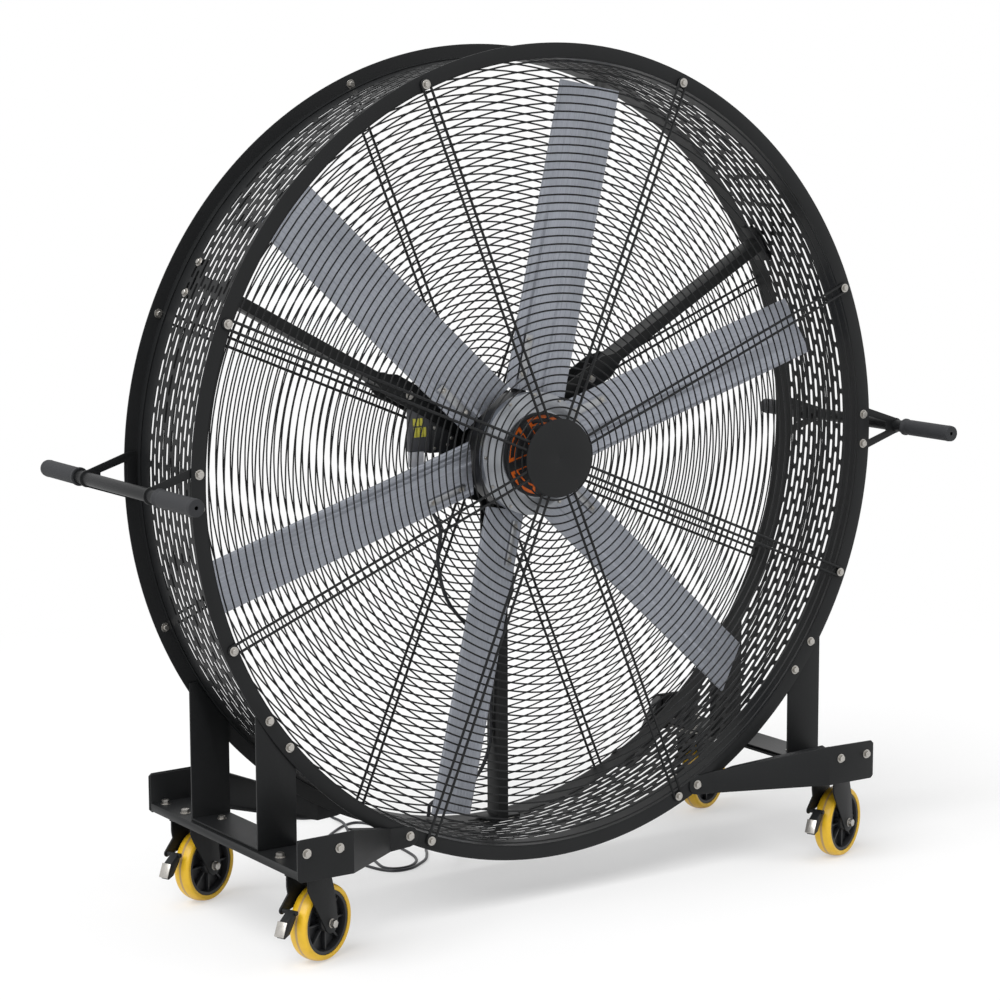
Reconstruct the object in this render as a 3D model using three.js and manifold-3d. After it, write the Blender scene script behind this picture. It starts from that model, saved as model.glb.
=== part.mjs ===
// Drum fan on four braked casters: a slotted drum between two wire guards, six flat blades on a
// direct-drive hub, three box-tube struts behind them, and a cord coiled on the floor at the back.
// Millimetres, +Z up, the intake guard faces -Y. The origin is on the floor under the drum.
import * as THREE from 'three';
import { mergeGeometries, mergeVertices } from 'three/addons/utils/BufferGeometryUtils.js';
import Module from 'manifold-3d';

const wasm = await Module();
wasm.setup();

// Driving dimensions.
const GAP = 0.3;

const DRUM_INNER_RADIUS = 1045;
const SHELL_THICKNESS = 2.5;
const DRUM_FACE = 185;
const DRUM_FACETS = 48;
const FLOOR_CLEARANCE = 115;

const SLOT_ROWS = 3;
const SLOT_ROW_PITCH = 80;
const SLOTS_PER_ROW = 24;
const SLOT_LENGTH = 200;
const SLOT_WIDTH = 44;

const FLANGE_WIDTH = 37.5;
const FLANGE_THICKNESS = 4;
const FLANGE_LIP_LENGTH = 22;
const FLANGE_LIP_THICKNESS = 3;
const FLANGE_OUTER_RADIUS = DRUM_INNER_RADIUS + SHELL_THICKNESS + FLANGE_WIDTH;
const LIP_OUTER_RADIUS = DRUM_INNER_RADIUS + SHELL_THICKNESS + GAP + FLANGE_LIP_THICKNESS;
const AXIS_HEIGHT = FLANGE_OUTER_RADIUS + FLOOR_CLEARANCE;

const GUARD_RING_COUNT = 4;
const GUARD_RING_PITCH = 250;
const GUARD_OUTER_RING = DRUM_INNER_RADIUS - 7.5;
const GUARD_FACETS = 16;
const GUARD_RING_WIRE = 4.6;
const GUARD_RING_DEPTH = 184.1;
const SPOKE_COUNT = 8;
const SPOKE_WIRE = 5.8;
const SPOKE_SPACING = 23;
const SPOKE_DEPTH = 188.6;
const SPOKE_INNER_RADIUS = 62;
const GUARD_BOLT_RADIUS = DRUM_INNER_RADIUS + 15;
const GUARD_DISC_RADIUS = 105;
const GUARD_DISC_THICKNESS = 3;

const BLADE_COUNT = 6;
const BLADE_CHORD = 168;
const BLADE_THICKNESS = 9;
const BLADE_RIB_HEIGHT = 1;
const BLADE_RIBS = 4;
const BLADE_CELLS = 3;
const BLADE_WALL = 2;
const BLADE_TIP_CLEARANCE = 45;
const BLADE_TIP_RADIUS = DRUM_INNER_RADIUS - BLADE_TIP_CLEARANCE;
const BLADE_PITCH_DEG = -19.1;
const BLADE_OFFSET = 14;
const BLADE_PLANE = -8;
const FIRST_BLADE_DEG = 12.4;
const CLIP_LENGTH = 122;
const CLIP_WIDTH = 21;
const CLIP_THICKNESS = 6;
const CLIP_OFFSET = -44;
const CLIP_INNER_RADIUS = 190;

const ROTOR_RADIUS = 158;
const BLADE_ROOT_RADIUS = ROTOR_RADIUS + 4;
const ROTOR_FRONT = -59.7;
const ROTOR_REAR = 22;
const DISH_RADIUS = 166;
const DISH_FRONT = -98;
const CAP_RADIUS = 114;
const CAP_FRONT = -111;
const FACE_RADIUS = 108.5;
const SPIDER_BARS = 6;
const HUB_FACETS = 18;

const MOTOR_FRONT = 24;
const HUB_BORE = 60;
const SHAFT_RADIUS = 58.7;
const STRUT_WIDTH = 30;
const STRUT_FRONT = 76;
const STRUT_REAR = 136;
const STRUT_WALL = 2;
const STRUT_PLATE = 4;
const STRUT_INNER_RADIUS = 124;
const MOTOR_BOSS_RADIUS = 118;
const BRACKET_WIDTH = 66;
const BRACKET_OUTER_RADIUS = 400;
const FOOT_LENGTH = 110;
const FOOT_THICKNESS = 6;

const HANDLE_REACH = 105;
const HANDLE_X = FLANGE_OUTER_RADIUS + HANDLE_REACH;
const HANDLE_TUBE_RADIUS = 16.85;
const HANDLE_TUBE_WALL = 2.6;
const HANDLE_TUBE_HALF = 408;
const GRIP_INNER_END = 221;
const GRIP_OUTER_END = 414;
const GRIP_RADIUS = 22;
const GRIP_COLLAR_RADIUS = 24;
const HANDLE_PLATE = 5;
const HANDLE_BOLT_X = DRUM_INNER_RADIUS + 17;
const HANDLE_BOLT_Z = 42;

const STAND_ARC_RADIUS = LIP_OUTER_RADIUS + 2.2;
const STAND_OUTER_DEG = 60.4;
const STAND_WIDTH = 113;
const STAND_TOP_WIDTH = 24;
const STAND_PLATE = 6;
const STAND_OUTER_X = STAND_ARC_RADIUS * Math.sin((STAND_OUTER_DEG * Math.PI) / 180);
const STAND_INNER_X = STAND_OUTER_X - STAND_WIDTH;

const BASE_MARGIN = 10;
const BASE_INNER_X = STAND_INNER_X - BASE_MARGIN;
const BASE_OUTER_X = STAND_OUTER_X + BASE_MARGIN;
const BASE_TOP_Z = 271;
const BASE_HALF_LENGTH = 400;
const BASE_PLATE = 5;
const BASE_LIP_DEPTH = 21;
const BASE_END_HEIGHT = 79;

const ARM_PLATE = 5;
const ARM_LIP = 17;
const ARM_LIP_THICKNESS = 5;
const ARM_MARGIN = 4;
const ARM_INNER_HALF_HEIGHT = 31;
const ARM_BOLT_RADIUS = (LIP_OUTER_RADIUS + FLANGE_OUTER_RADIUS) / 2;
const ARM_BOLT_DEG = 26.2;
const ARM_BOLT_X = ARM_BOLT_RADIUS * Math.sin((ARM_BOLT_DEG * Math.PI) / 180);
const ARM_BOLT_DROP = ARM_BOLT_RADIUS * Math.cos((ARM_BOLT_DEG * Math.PI) / 180);
const ARM_END_RADIUS = 27;
const ARM_FLAT_LENGTH = 59;
const ARM_FAR_X = BASE_OUTER_X + 2;
const ARM_OUTER_BEND_X = BASE_INNER_X - 25;
const ARM_INNER_BEND_X = ARM_BOLT_X + ARM_FLAT_LENGTH;

const CASTER_X = BASE_INNER_X + 56;
const CASTER_Y = BASE_HALF_LENGTH - 87;
const CASTER_TRAIL = 50;
const CASTER_HEADING_DEG = 22;
const CASTER_PLATE_SIZE = [110, 135, 5];
const SWIVEL_HEAD_RADIUS = 44;
const SWIVEL_SEAT_Z = 250;
const WHEEL_RADIUS = 100;
const WHEEL_WIDTH = 50;
const WHEEL_FACETS = 16;
const BEARING_FACETS = 10;
const RIM_RADIUS = 82.7;
const AXLE_RADIUS = 8;
const FORK_GAP = 62;
const FORK_PLATE = 5;
const FORK_TOP_WIDTH = 95;
const PEDAL_PIVOT = [-62, 150];
const PEDAL_TIP = [-118, 112];
const PEDAL_WIDTH = 44;

const GLAND_DEG = 180 + (1.5 * 360) / DRUM_FACETS;
const GLAND_Y = 148;
const GLAND_LENGTH = 26;
const CORD_RADIUS = 4.2;
const CORD_SIDES = 8;
const CORD_STEPS = 80;
const CABLE_RADIUS = 5;

const COIL_CENTRE = [-150, 930];
const COIL_MEAN_RADIUS = 46;
const COIL_TURN_PITCH = 9.5;
const COIL_LAYER_PITCH = 9.3;
const COIL_LAYERS = 4;
const COIL_TURNS_PER_LAYER = 2;
const COIL_STEPS_PER_TURN = 24;
const COIL_SIDES = 6;
const PLUG_RADIUS = 17;
const PLUG_LENGTH = 52;

// Finishes.
const FINISHES = {
  blackCoat: { color: 0x2b2c2d, roughness: 0.62, metalness: 0.2 },
  bladeGrey: { color: 0x9a9da0, roughness: 0.42, metalness: 0.7 },
  polished: { color: 0xc9cbcd, roughness: 0.18, metalness: 1.0 },
  zinc: { color: 0xa9a8a4, roughness: 0.38, metalness: 0.9 },
  yellow: { color: 0xd0a41f, roughness: 0.45, metalness: 0.0 },
  orange: { color: 0xc8501a, roughness: 0.5, metalness: 0.0 },
  blackPlastic: { color: 0x1d1e20, roughness: 0.55, metalness: 0.0 },
  blackRubber: { color: 0x202124, roughness: 0.7, metalness: 0.0 },
};

const degrees = THREE.MathUtils.degToRad;
const v2 = (x, y) => new THREE.Vector2(x, y);
const v3 = (x, y, z) => new THREE.Vector3(x, y, z);

// A geometry as a solid for joins and cuts, with its shared vertices merged.
function solid(geometry) {
  const welded = geometry.clone();
  welded.deleteAttribute('normal');
  welded.deleteAttribute('uv');
  const merged = mergeVertices(welded, 1e-4);
  const vertProperties = new Float32Array(merged.attributes.position.array);
  const triVerts = new Uint32Array(merged.index.array);
  return new wasm.Manifold(new wasm.Mesh({ numProp: 3, vertProperties, triVerts }));
}

function geometryOf(body) {
  const mesh = body.getMesh();
  const geometry = new THREE.BufferGeometry();
  geometry.setAttribute('position', new THREE.BufferAttribute(mesh.vertProperties, 3));
  geometry.setIndex(new THREE.BufferAttribute(mesh.triVerts, 1));
  geometry.computeVertexNormals();
  return geometry;
}

function join(...geometries) {
  return geometryOf(geometries.map(solid).reduce((whole, piece) => whole.add(piece)));
}

function cut(geometry, tool) {
  return geometryOf(solid(geometry).subtract(solid(tool)));
}

function overlapOf(geometry, other) {
  return geometryOf(solid(geometry).intersect(solid(other)));
}

// A box between two opposite corners.
function block([x0, y0, z0], [x1, y1, z1]) {
  const box = new THREE.BoxGeometry(x1 - x0, y1 - y0, z1 - z0);
  return box.translate((x0 + x1) / 2, (y0 + y1) / 2, (z0 + z1) / 2);
}

// An outline in the XZ plane, given depth from y0 to y1.
function uprightPlate(outline, y0, y1, curveSegments = 3) {
  const plate = new THREE.ExtrudeGeometry(outline, { depth: y1 - y0, bevelEnabled: false, curveSegments });
  return plate.rotateX(Math.PI / 2).translate(0, y1, 0);
}

// An outline in the XY plane, given height from z0 to z1.
function flatPlate(outline, z0, z1) {
  const plate = new THREE.ExtrudeGeometry(outline, { depth: z1 - z0, bevelEnabled: false, curveSegments: 4 });
  return plate.translate(0, 0, z0);
}

function polygon(points) {
  return new THREE.Shape(points.map(([x, y]) => v2(x, y)));
}

// A profile of (radius, height) pairs turned about Y, closed on itself or ending on the axis.
function turned(profile, facets, firstAngle = 0) {
  const points = profile.map(([radius, height]) => v2(radius, height));
  const onAxis = profile[0][0] === 0 && profile.at(-1)[0] === 0;
  if (!onAxis) {
    points.push(points[0].clone());
  }
  return new THREE.LatheGeometry(points, facets, firstAngle);
}

function disc(radius, y0, y1, facets) {
  return turned([[0, y0], [radius, y0], [radius, y1], [0, y1]], facets);
}

function ring(innerRadius, outerRadius, y0, y1, facets) {
  return turned([[innerRadius, y0], [outerRadius, y0], [outerRadius, y1], [innerRadius, y1]], facets);
}

// A round tube along a smooth curve through the points.
function tubeAlong(points, radius, sides, steps) {
  const path = new THREE.CatmullRomCurve3(points, false, 'centripetal');
  const corner = (index) => v2(radius, 0).rotateAround(v2(0, 0), (2 * Math.PI * index) / sides);
  const section = new THREE.Shape(Array.from({ length: sides }, (_, index) => corner(index)));
  return new THREE.ExtrudeGeometry(section, { steps, extrudePath: path, bevelEnabled: false });
}

// The least clear distance between stretches of a cord that are well apart along it, measured on
// the straight segments between its sections.
function selfGap(points, radius, steps) {
  const path = new THREE.CatmullRomCurve3(points, false, 'centripetal');
  const sections = path.getSpacedPoints(steps);
  const samplesPerSegment = 8;
  const samples = sections.slice(1).flatMap((end, index) => Array.from(
    { length: samplesPerSegment },
    (_, sample) => sections[index].clone().lerp(end, sample / samplesPerSegment),
  ));
  const spacing = path.getLength() / samples.length;
  const apart = Math.ceil((12 * radius) / spacing);
  let least = Infinity;
  for (let first = 0; first < samples.length; first += 1) {
    for (let second = first + apart; second < samples.length; second += 1) {
      least = Math.min(least, samples[first].distanceTo(samples[second]));
    }
  }
  return least - 2 * radius;
}

function part(name, finish, geometry) {
  const mesh = new THREE.Mesh(geometry, new THREE.MeshStandardMaterial(FINISHES[finish]));
  mesh.name = name;
  return mesh;
}

const fan = new THREE.Group();
const drum = new THREE.Group();
drum.position.set(0, 0, AXIS_HEIGHT);
fan.add(drum);

// Turns a geometry made at the top of the drum to its clock angle, seen from the front.
function atAngle(geometry, angleDeg) {
  return geometry.rotateY(degrees(angleDeg));
}

// The sheet drum, with staggered rows of slots whose middles lie on its bend lines.
function drumShell() {
  const outerRadius = DRUM_INNER_RADIUS + SHELL_THICKNESS;
  const shell = ring(DRUM_INNER_RADIUS, outerRadius, -DRUM_FACE, DRUM_FACE, DRUM_FACETS);
  const slotDeg = 360 / SLOTS_PER_ROW;
  const slots = [];
  for (let row = 0; row < SLOT_ROWS; row += 1) {
    const y = (row - (SLOT_ROWS - 1) / 2) * SLOT_ROW_PITCH;
    for (let index = 0; index < SLOTS_PER_ROW; index += 1) {
      const slot = new THREE.BoxGeometry(SLOT_LENGTH, SLOT_WIDTH, 16 * SHELL_THICKNESS);
      slot.translate(0, y, DRUM_INNER_RADIUS);
      slots.push(atAngle(slot, (index + ((row + 1) % 2) / 2) * slotDeg));
    }
  }
  return cut(shell, mergeGeometries(slots));
}

// A rolled angle ring: a flat face for the bolts and a short lip round the shell.
function flange(side) {
  const face = side * DRUM_FACE;
  const back = side * (DRUM_FACE - FLANGE_THICKNESS);
  const lipEnd = side * (DRUM_FACE - FLANGE_LIP_LENGTH);
  const lipInner = LIP_OUTER_RADIUS - FLANGE_LIP_THICKNESS;
  const profile = [
    [lipInner, face], [FLANGE_OUTER_RADIUS, face], [FLANGE_OUTER_RADIUS, back],
    [LIP_OUTER_RADIUS, back], [LIP_OUTER_RADIUS, lipEnd], [lipInner, lipEnd],
  ];
  return turned(side < 0 ? profile : profile.reverse(), DRUM_FACETS);
}

// One spoke of the guard: a single wire that runs out, loops round its bolt and runs back.
function guardSpoke(side) {
  const outer = (SPOKE_SPACING + SPOKE_WIRE) / 2;
  const inner = (SPOKE_SPACING - SPOKE_WIRE) / 2;
  const outline = new THREE.Shape();
  outline.moveTo(outer, SPOKE_INNER_RADIUS);
  outline.lineTo(outer, GUARD_BOLT_RADIUS);
  outline.absarc(0, GUARD_BOLT_RADIUS, outer, 0, Math.PI, false);
  outline.lineTo(-outer, SPOKE_INNER_RADIUS);
  outline.lineTo(-inner, SPOKE_INNER_RADIUS);
  outline.lineTo(-inner, GUARD_BOLT_RADIUS);
  outline.absarc(0, GUARD_BOLT_RADIUS, inner, Math.PI, 0, true);
  outline.lineTo(inner, SPOKE_INNER_RADIUS);
  const centre = side * SPOKE_DEPTH;
  return uprightPlate(outline, centre - SPOKE_WIRE / 2, centre + SPOKE_WIRE / 2, 2);
}

// Concentric wire rings welded behind the paired spokes, with the centre disc on their ends.
function guard(side) {
  const wire = GUARD_RING_WIRE / 2;
  const centre = side * GUARD_RING_DEPTH;
  const seat = SPOKE_DEPTH + SPOKE_WIRE / 2;
  const pieces = [];
  for (let index = 0; index < GUARD_RING_COUNT; index += 1) {
    const radius = GUARD_OUTER_RING - index * GUARD_RING_PITCH;
    const tip = centre + side * wire;
    const base = centre - (side * wire) / 2;
    const profile = [[radius + wire * 0.87, base], [radius, tip], [radius - wire * 0.87, base]];
    pieces.push(turned(side > 0 ? profile : profile.reverse(), GUARD_FACETS));
  }
  for (let index = 0; index < SPOKE_COUNT; index += 1) {
    pieces.push(atAngle(guardSpoke(side), (360 / SPOKE_COUNT) * (index + 0.5)));
  }
  const faces = [side * (seat - 0.6), side * (seat + GUARD_DISC_THICKNESS)].sort((a, b) => a - b);
  pieces.push(disc(GUARD_DISC_RADIUS, faces[0], faces[1], HUB_FACETS));
  return join(...pieces);
}

drum.add(part('drum_shell', 'blackCoat', drumShell()));
drum.add(part('front_flange', 'blackCoat', flange(-1)));
drum.add(part('rear_flange', 'blackCoat', flange(1)));
drum.add(part('front_guard', 'blackCoat', guard(-1)));
drum.add(part('rear_guard', 'blackCoat', guard(1)));

// The blade's section, with lengthwise ribs on its front face.
function bladeSection() {
  const half = BLADE_CHORD / 2;
  const skin = BLADE_THICKNESS / 2;
  const edge = skin / 2;
  const outline = new THREE.Shape();
  outline.moveTo(-half, -edge);
  outline.lineTo(-half + edge, -skin);
  for (let index = 0; index < BLADE_RIBS; index += 1) {
    const x = ((index + 0.5) / BLADE_RIBS - 0.5) * (BLADE_CHORD - 4 * edge);
    outline.lineTo(x - 2, -skin);
    outline.lineTo(x, -skin - BLADE_RIB_HEIGHT);
    outline.lineTo(x + 2, -skin);
  }
  outline.lineTo(half - edge, -skin);
  outline.lineTo(half, -edge);
  outline.lineTo(half, edge);
  outline.lineTo(half - edge, skin);
  outline.lineTo(-half + edge, skin);
  outline.lineTo(-half, edge);
  return outline;
}

// Tips a geometry from the blade's own plane to its pitch and place beside the radial line.
function pitched(geometry) {
  return geometry.rotateZ(degrees(BLADE_PITCH_DEG)).translate(BLADE_OFFSET, BLADE_PLANE, 0);
}

function bladeAngle(index) {
  return FIRST_BLADE_DEG + (360 / BLADE_COUNT) * index;
}

// The open cells that run the length of the blade.
function bladeCells() {
  const pitch = (BLADE_CHORD - BLADE_THICKNESS) / BLADE_CELLS;
  const halfHeight = BLADE_THICKNESS / 2 - BLADE_WALL;
  const cells = [];
  for (let index = 0; index < BLADE_CELLS; index += 1) {
    const x = (index + 0.5 - BLADE_CELLS / 2) * pitch;
    const halfWidth = (pitch - BLADE_WALL) / 2;
    cells.push(block(
      [x - halfWidth, -halfHeight, BLADE_ROOT_RADIUS - 1],
      [x + halfWidth, halfHeight, BLADE_TIP_RADIUS + 1],
    ));
  }
  return mergeGeometries(cells);
}

// A blade with the clip bar that clamps its root to the rotor's tongue.
function blade() {
  const seat = -BLADE_THICKNESS / 2;
  const bar = block(
    [CLIP_OFFSET - CLIP_WIDTH / 2, seat - CLIP_THICKNESS, CLIP_INNER_RADIUS],
    [CLIP_OFFSET + CLIP_WIDTH / 2, seat + 0.5, CLIP_INNER_RADIUS + CLIP_LENGTH],
  );
  const body = join(flatPlate(bladeSection(), BLADE_ROOT_RADIUS, BLADE_TIP_RADIUS), bar);
  return pitched(cut(body, bladeCells()));
}

// The rotor drum with a tongue behind each blade root.
function rotorDrum() {
  const wall = 8;
  const rearFace = BLADE_THICKNESS / 2 + GAP;
  let body = solid(ring(ROTOR_RADIUS - wall, ROTOR_RADIUS, ROTOR_FRONT, ROTOR_REAR, HUB_FACETS));
  for (let index = 0; index < BLADE_COUNT; index += 1) {
    const tongue = block(
      [CLIP_OFFSET - 20, rearFace, ROTOR_RADIUS - wall],
      [CLIP_OFFSET + 20, rearFace + CLIP_THICKNESS, CLIP_INNER_RADIUS + CLIP_LENGTH],
    );
    body = body.add(solid(atAngle(pitched(tongue), bladeAngle(index))));
  }
  return geometryOf(body);
}

// The polished dish in front of the rotor drum.
function rotorDish() {
  return turned([
    [HUB_BORE, DISH_FRONT], [118, DISH_FRONT], [150, -80], [DISH_RADIUS, -74],
    [DISH_RADIUS, ROTOR_FRONT - GAP], [ROTOR_RADIUS, ROTOR_FRONT - GAP],
    [146, -74], [112, DISH_FRONT + 6], [HUB_BORE, DISH_FRONT + 6],
  ], HUB_FACETS);
}

// The cap: a cup with a spider of bars across its mouth.
function rotorCap() {
  const floor = DISH_FRONT - GAP;
  const cup = turned([
    [0, floor - 3.3], [FACE_RADIUS + 0.5, floor - 3.3], [FACE_RADIUS + 0.5, CAP_FRONT],
    [CAP_RADIUS, CAP_FRONT], [CAP_RADIUS, floor], [0, floor],
  ], HUB_FACETS);
  const barFront = CAP_FRONT + 0.7;
  const barBack = CAP_FRONT + 3.4;
  let spider = solid(disc(40, barFront, barBack, BEARING_FACETS));
  for (let index = 0; index < SPIDER_BARS; index += 1) {
    const bar = block([-5, barFront, 36], [5, barBack, FACE_RADIUS + 2]);
    spider = spider.add(solid(atAngle(bar, (360 / SPIDER_BARS) * index)));
  }
  return geometryOf(solid(cup).add(spider));
}

function rotorFace() {
  return disc(FACE_RADIUS - 0.5, CAP_FRONT + 3.7, DISH_FRONT - GAP - 3.6, HUB_FACETS);
}

for (let index = 0; index < BLADE_COUNT; index += 1) {
  const mesh = part(`blade_${index + 1}`, 'bladeGrey', blade());
  mesh.rotation.y = degrees(bladeAngle(index));
  drum.add(mesh);
}
drum.add(part('rotor_drum', 'blackCoat', rotorDrum()));
drum.add(part('rotor_hub', 'polished', rotorDish()));
drum.add(part('rotor_cap', 'blackPlastic', rotorCap()));
drum.add(part('rotor_face', 'orange', rotorFace()));

// The fixed half of the motor: a shaft that carries the rotor's hub, and a boss that the struts
// meet. The shaft's corners lie on the middle of the hub bore's facets.
function motorBody() {
  return turned([
    [0, DISH_FRONT], [SHAFT_RADIUS, DISH_FRONT], [SHAFT_RADIUS, MOTOR_FRONT],
    [MOTOR_BOSS_RADIUS - 6, MOTOR_FRONT], [MOTOR_BOSS_RADIUS, MOTOR_FRONT + 6],
    [MOTOR_BOSS_RADIUS, STRUT_REAR + STRUT_PLATE], [0, STRUT_REAR + STRUT_PLATE],
  ], HUB_FACETS, Math.PI / HUB_FACETS);
}

// A box-tube strut with bracket plates at the motor and a flat foot against the shell.
function motorStrut() {
  const half = STRUT_WIDTH / 2;
  const halfBracket = BRACKET_WIDTH / 2;
  const seat = DRUM_INNER_RADIUS - (FOOT_LENGTH / 2) * Math.tan(Math.PI / DRUM_FACETS) - GAP;
  const footInner = seat - FOOT_THICKNESS;
  const tubeHeight = STRUT_REAR - STRUT_FRONT;
  const section = polygon([
    [-half, STRUT_FRONT], [half, STRUT_FRONT], [half, STRUT_REAR], [-half, STRUT_REAR],
  ]);
  const bore = half - STRUT_WALL;
  section.holes.push(new THREE.Path([
    v2(-bore, STRUT_FRONT + STRUT_WALL), v2(bore, STRUT_FRONT + STRUT_WALL),
    v2(bore, STRUT_FRONT + tubeHeight - STRUT_WALL), v2(-bore, STRUT_FRONT + tubeHeight - STRUT_WALL),
  ]));
  const tube = flatPlate(section, STRUT_INNER_RADIUS, footInner);
  const bracketOutline = polygon([
    [-halfBracket, STRUT_INNER_RADIUS], [halfBracket, STRUT_INNER_RADIUS],
    [halfBracket, BRACKET_OUTER_RADIUS], [half, BRACKET_OUTER_RADIUS + 45],
    [-half, BRACKET_OUTER_RADIUS + 45], [-halfBracket, BRACKET_OUTER_RADIUS],
  ]);
  const front = uprightPlate(bracketOutline, STRUT_FRONT - STRUT_PLATE, STRUT_FRONT + 1);
  const rear = uprightPlate(bracketOutline, STRUT_REAR - 1, STRUT_REAR + STRUT_PLATE);
  const foot = block([-FOOT_LENGTH / 2, STRUT_FRONT, footInner - 1], [FOOT_LENGTH / 2, STRUT_REAR, seat]);
  return join(tube, front, rear, foot);
}

// The ring plate that ties the three struts together behind the motor.
function motorBracket() {
  const seat = STRUT_REAR + STRUT_PLATE + GAP;
  return ring(60, ROTOR_RADIUS, seat, seat + 6, HUB_FACETS);
}

const STRUTS = { upper_right: 60, lower: 180, upper_left: -61.5 };

drum.add(part('motor_body', 'blackCoat', motorBody()));
drum.add(part('motor_bracket', 'blackCoat', motorBracket()));
for (const [place, angle] of Object.entries(STRUTS)) {
  const mesh = part(`motor_strut_${place}`, 'blackCoat', motorStrut());
  mesh.rotation.y = degrees(angle);
  drum.add(mesh);
}

// The drive box hangs under the upper left strut: its sloping top follows the strut's side.
function driveBox() {
  const left = -300;
  const right = -150;
  const halfWidth = BRACKET_WIDTH / 2 + GAP;
  const rise = degrees(90 + STRUTS.upper_left);
  const topAt = (x) => -x * Math.tan(rise) - halfWidth / Math.cos(rise);
  const outline = polygon([[left, 2], [right, 2], [right, topAt(right)], [left, topAt(left)]]);
  return uprightPlate(outline, 70, 140);
}

drum.add(part('drive_box', 'blackPlastic', driveBox()));

// The motor cable hangs from the drive box, then follows the lower strut to the gland. Its points
// are measured from the drum's middle, and the last ones from the sheet.
const aboveRim = (x, y, height) => v3(x, y, height - DRUM_INNER_RADIUS);
const aboveGland = (height) => v3(0, GLAND_Y, DRUM_INNER_RADIUS * Math.cos(Math.PI / DRUM_FACETS) - height)
  .applyAxisAngle(v3(0, 1, 0), degrees(GLAND_DEG));
const MOTOR_CABLE = [
  v3(-258, 100, 1.7), v3(-258, 100, -12), v3(-246, 88, -115), v3(-203, 76, -208), v3(-214, 72, -290),
  v3(-186, 72, -400), v3(-92, 86, -510), v3(-30, 100, -610), v3(-22, 106, -720), aboveRim(-26, 110, 205),
  aboveRim(-62, 124, 120), aboveRim(-132, 143, 83), aboveGland(36), aboveGland(16), aboveGland(2),
];
drum.add(part('motor_cable', 'blackRubber', tubeAlong(MOTOR_CABLE, CABLE_RADIUS, 6, 26)));

// Handles: a tube along the drum's side on two windowed plates bolted behind the flanges.
function handlePlate(side) {
  const inner = LIP_OUTER_RADIUS + 4;
  const shoulder = HANDLE_BOLT_X + 14;
  const reach = HANDLE_BOLT_Z + 18;
  const hub = GRIP_RADIUS;
  const outline = new THREE.Shape();
  outline.moveTo(inner, -reach);
  outline.lineTo(shoulder, -reach);
  outline.lineTo(HANDLE_X, -hub);
  outline.absarc(HANDLE_X, 0, hub, -Math.PI / 2, Math.PI / 2, false);
  outline.lineTo(shoulder, reach);
  outline.lineTo(inner, reach);
  outline.holes.push(new THREE.Path([
    v2(shoulder + 4, 24 - reach), v2(shoulder + 4, reach - 24),
    v2(HANDLE_X - 36, hub - 9), v2(HANDLE_X - 36, 9 - hub),
  ]));
  const outerFace = DRUM_FACE - FLANGE_THICKNESS - GAP;
  const ends = [side * outerFace, side * (outerFace - HANDLE_PLATE)].sort((a, b) => a - b);
  return uprightPlate(outline, ends[0], ends[1]);
}

function handle() {
  const end = HANDLE_TUBE_HALF;
  const boreRadius = HANDLE_TUBE_RADIUS - HANDLE_TUBE_WALL;
  const rail = ring(boreRadius, HANDLE_TUBE_RADIUS, -end, end, BEARING_FACETS).translate(HANDLE_X, 0, 0);
  const bore = disc(boreRadius, -end, end, BEARING_FACETS);
  const plates = [handlePlate(-1), handlePlate(1)];
  return cut(join(rail, ...plates), bore.translate(HANDLE_X, 0, 0));
}

// A grip: a closed sleeve with a collar at its inner end and a vent in its outer one.
function grip() {
  const bore = HANDLE_TUBE_RADIUS + GAP;
  const floor = HANDLE_TUBE_HALF + GAP;
  return turned([
    [bore, GRIP_INNER_END], [GRIP_COLLAR_RADIUS, GRIP_INNER_END], [GRIP_RADIUS, GRIP_INNER_END + 8],
    [GRIP_RADIUS, GRIP_OUTER_END], [5, GRIP_OUTER_END], [5, floor], [bore, floor],
  ], BEARING_FACETS).translate(HANDLE_X, 0, 0);
}

// Stands: one plate bent to a U, its legs behind the flanges and cut to the drum's curve.
function stand() {
  const drumArc = (x) => AXIS_HEIGHT - Math.sqrt(STAND_ARC_RADIUS ** 2 - x ** 2);
  const startAngle = Math.asin(STAND_INNER_X / STAND_ARC_RADIUS);
  const endAngle = Math.asin((STAND_OUTER_X - STAND_TOP_WIDTH) / STAND_ARC_RADIUS);
  const top = drumArc(STAND_OUTER_X - STAND_TOP_WIDTH);
  const floor = BASE_TOP_Z + GAP;
  const outline = new THREE.Shape();
  outline.moveTo(STAND_INNER_X, floor);
  outline.lineTo(STAND_OUTER_X, floor);
  outline.lineTo(STAND_OUTER_X, top);
  outline.lineTo(STAND_OUTER_X - STAND_TOP_WIDTH, top);
  outline.absarc(0, AXIS_HEIGHT, STAND_ARC_RADIUS, endAngle - Math.PI / 2, startAngle - Math.PI / 2, true);
  outline.lineTo(STAND_INNER_X, drumArc(STAND_INNER_X));
  const legFace = DRUM_FACE - FLANGE_THICKNESS - GAP;
  const legs = [
    uprightPlate(outline, -legFace, -legFace + STAND_PLATE),
    uprightPlate(outline, legFace - STAND_PLATE, legFace),
  ];
  const bottom = block([STAND_INNER_X, -legFace, floor], [STAND_OUTER_X, legFace, floor + STAND_PLATE]);
  return join(bottom, ...legs);
}

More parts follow.
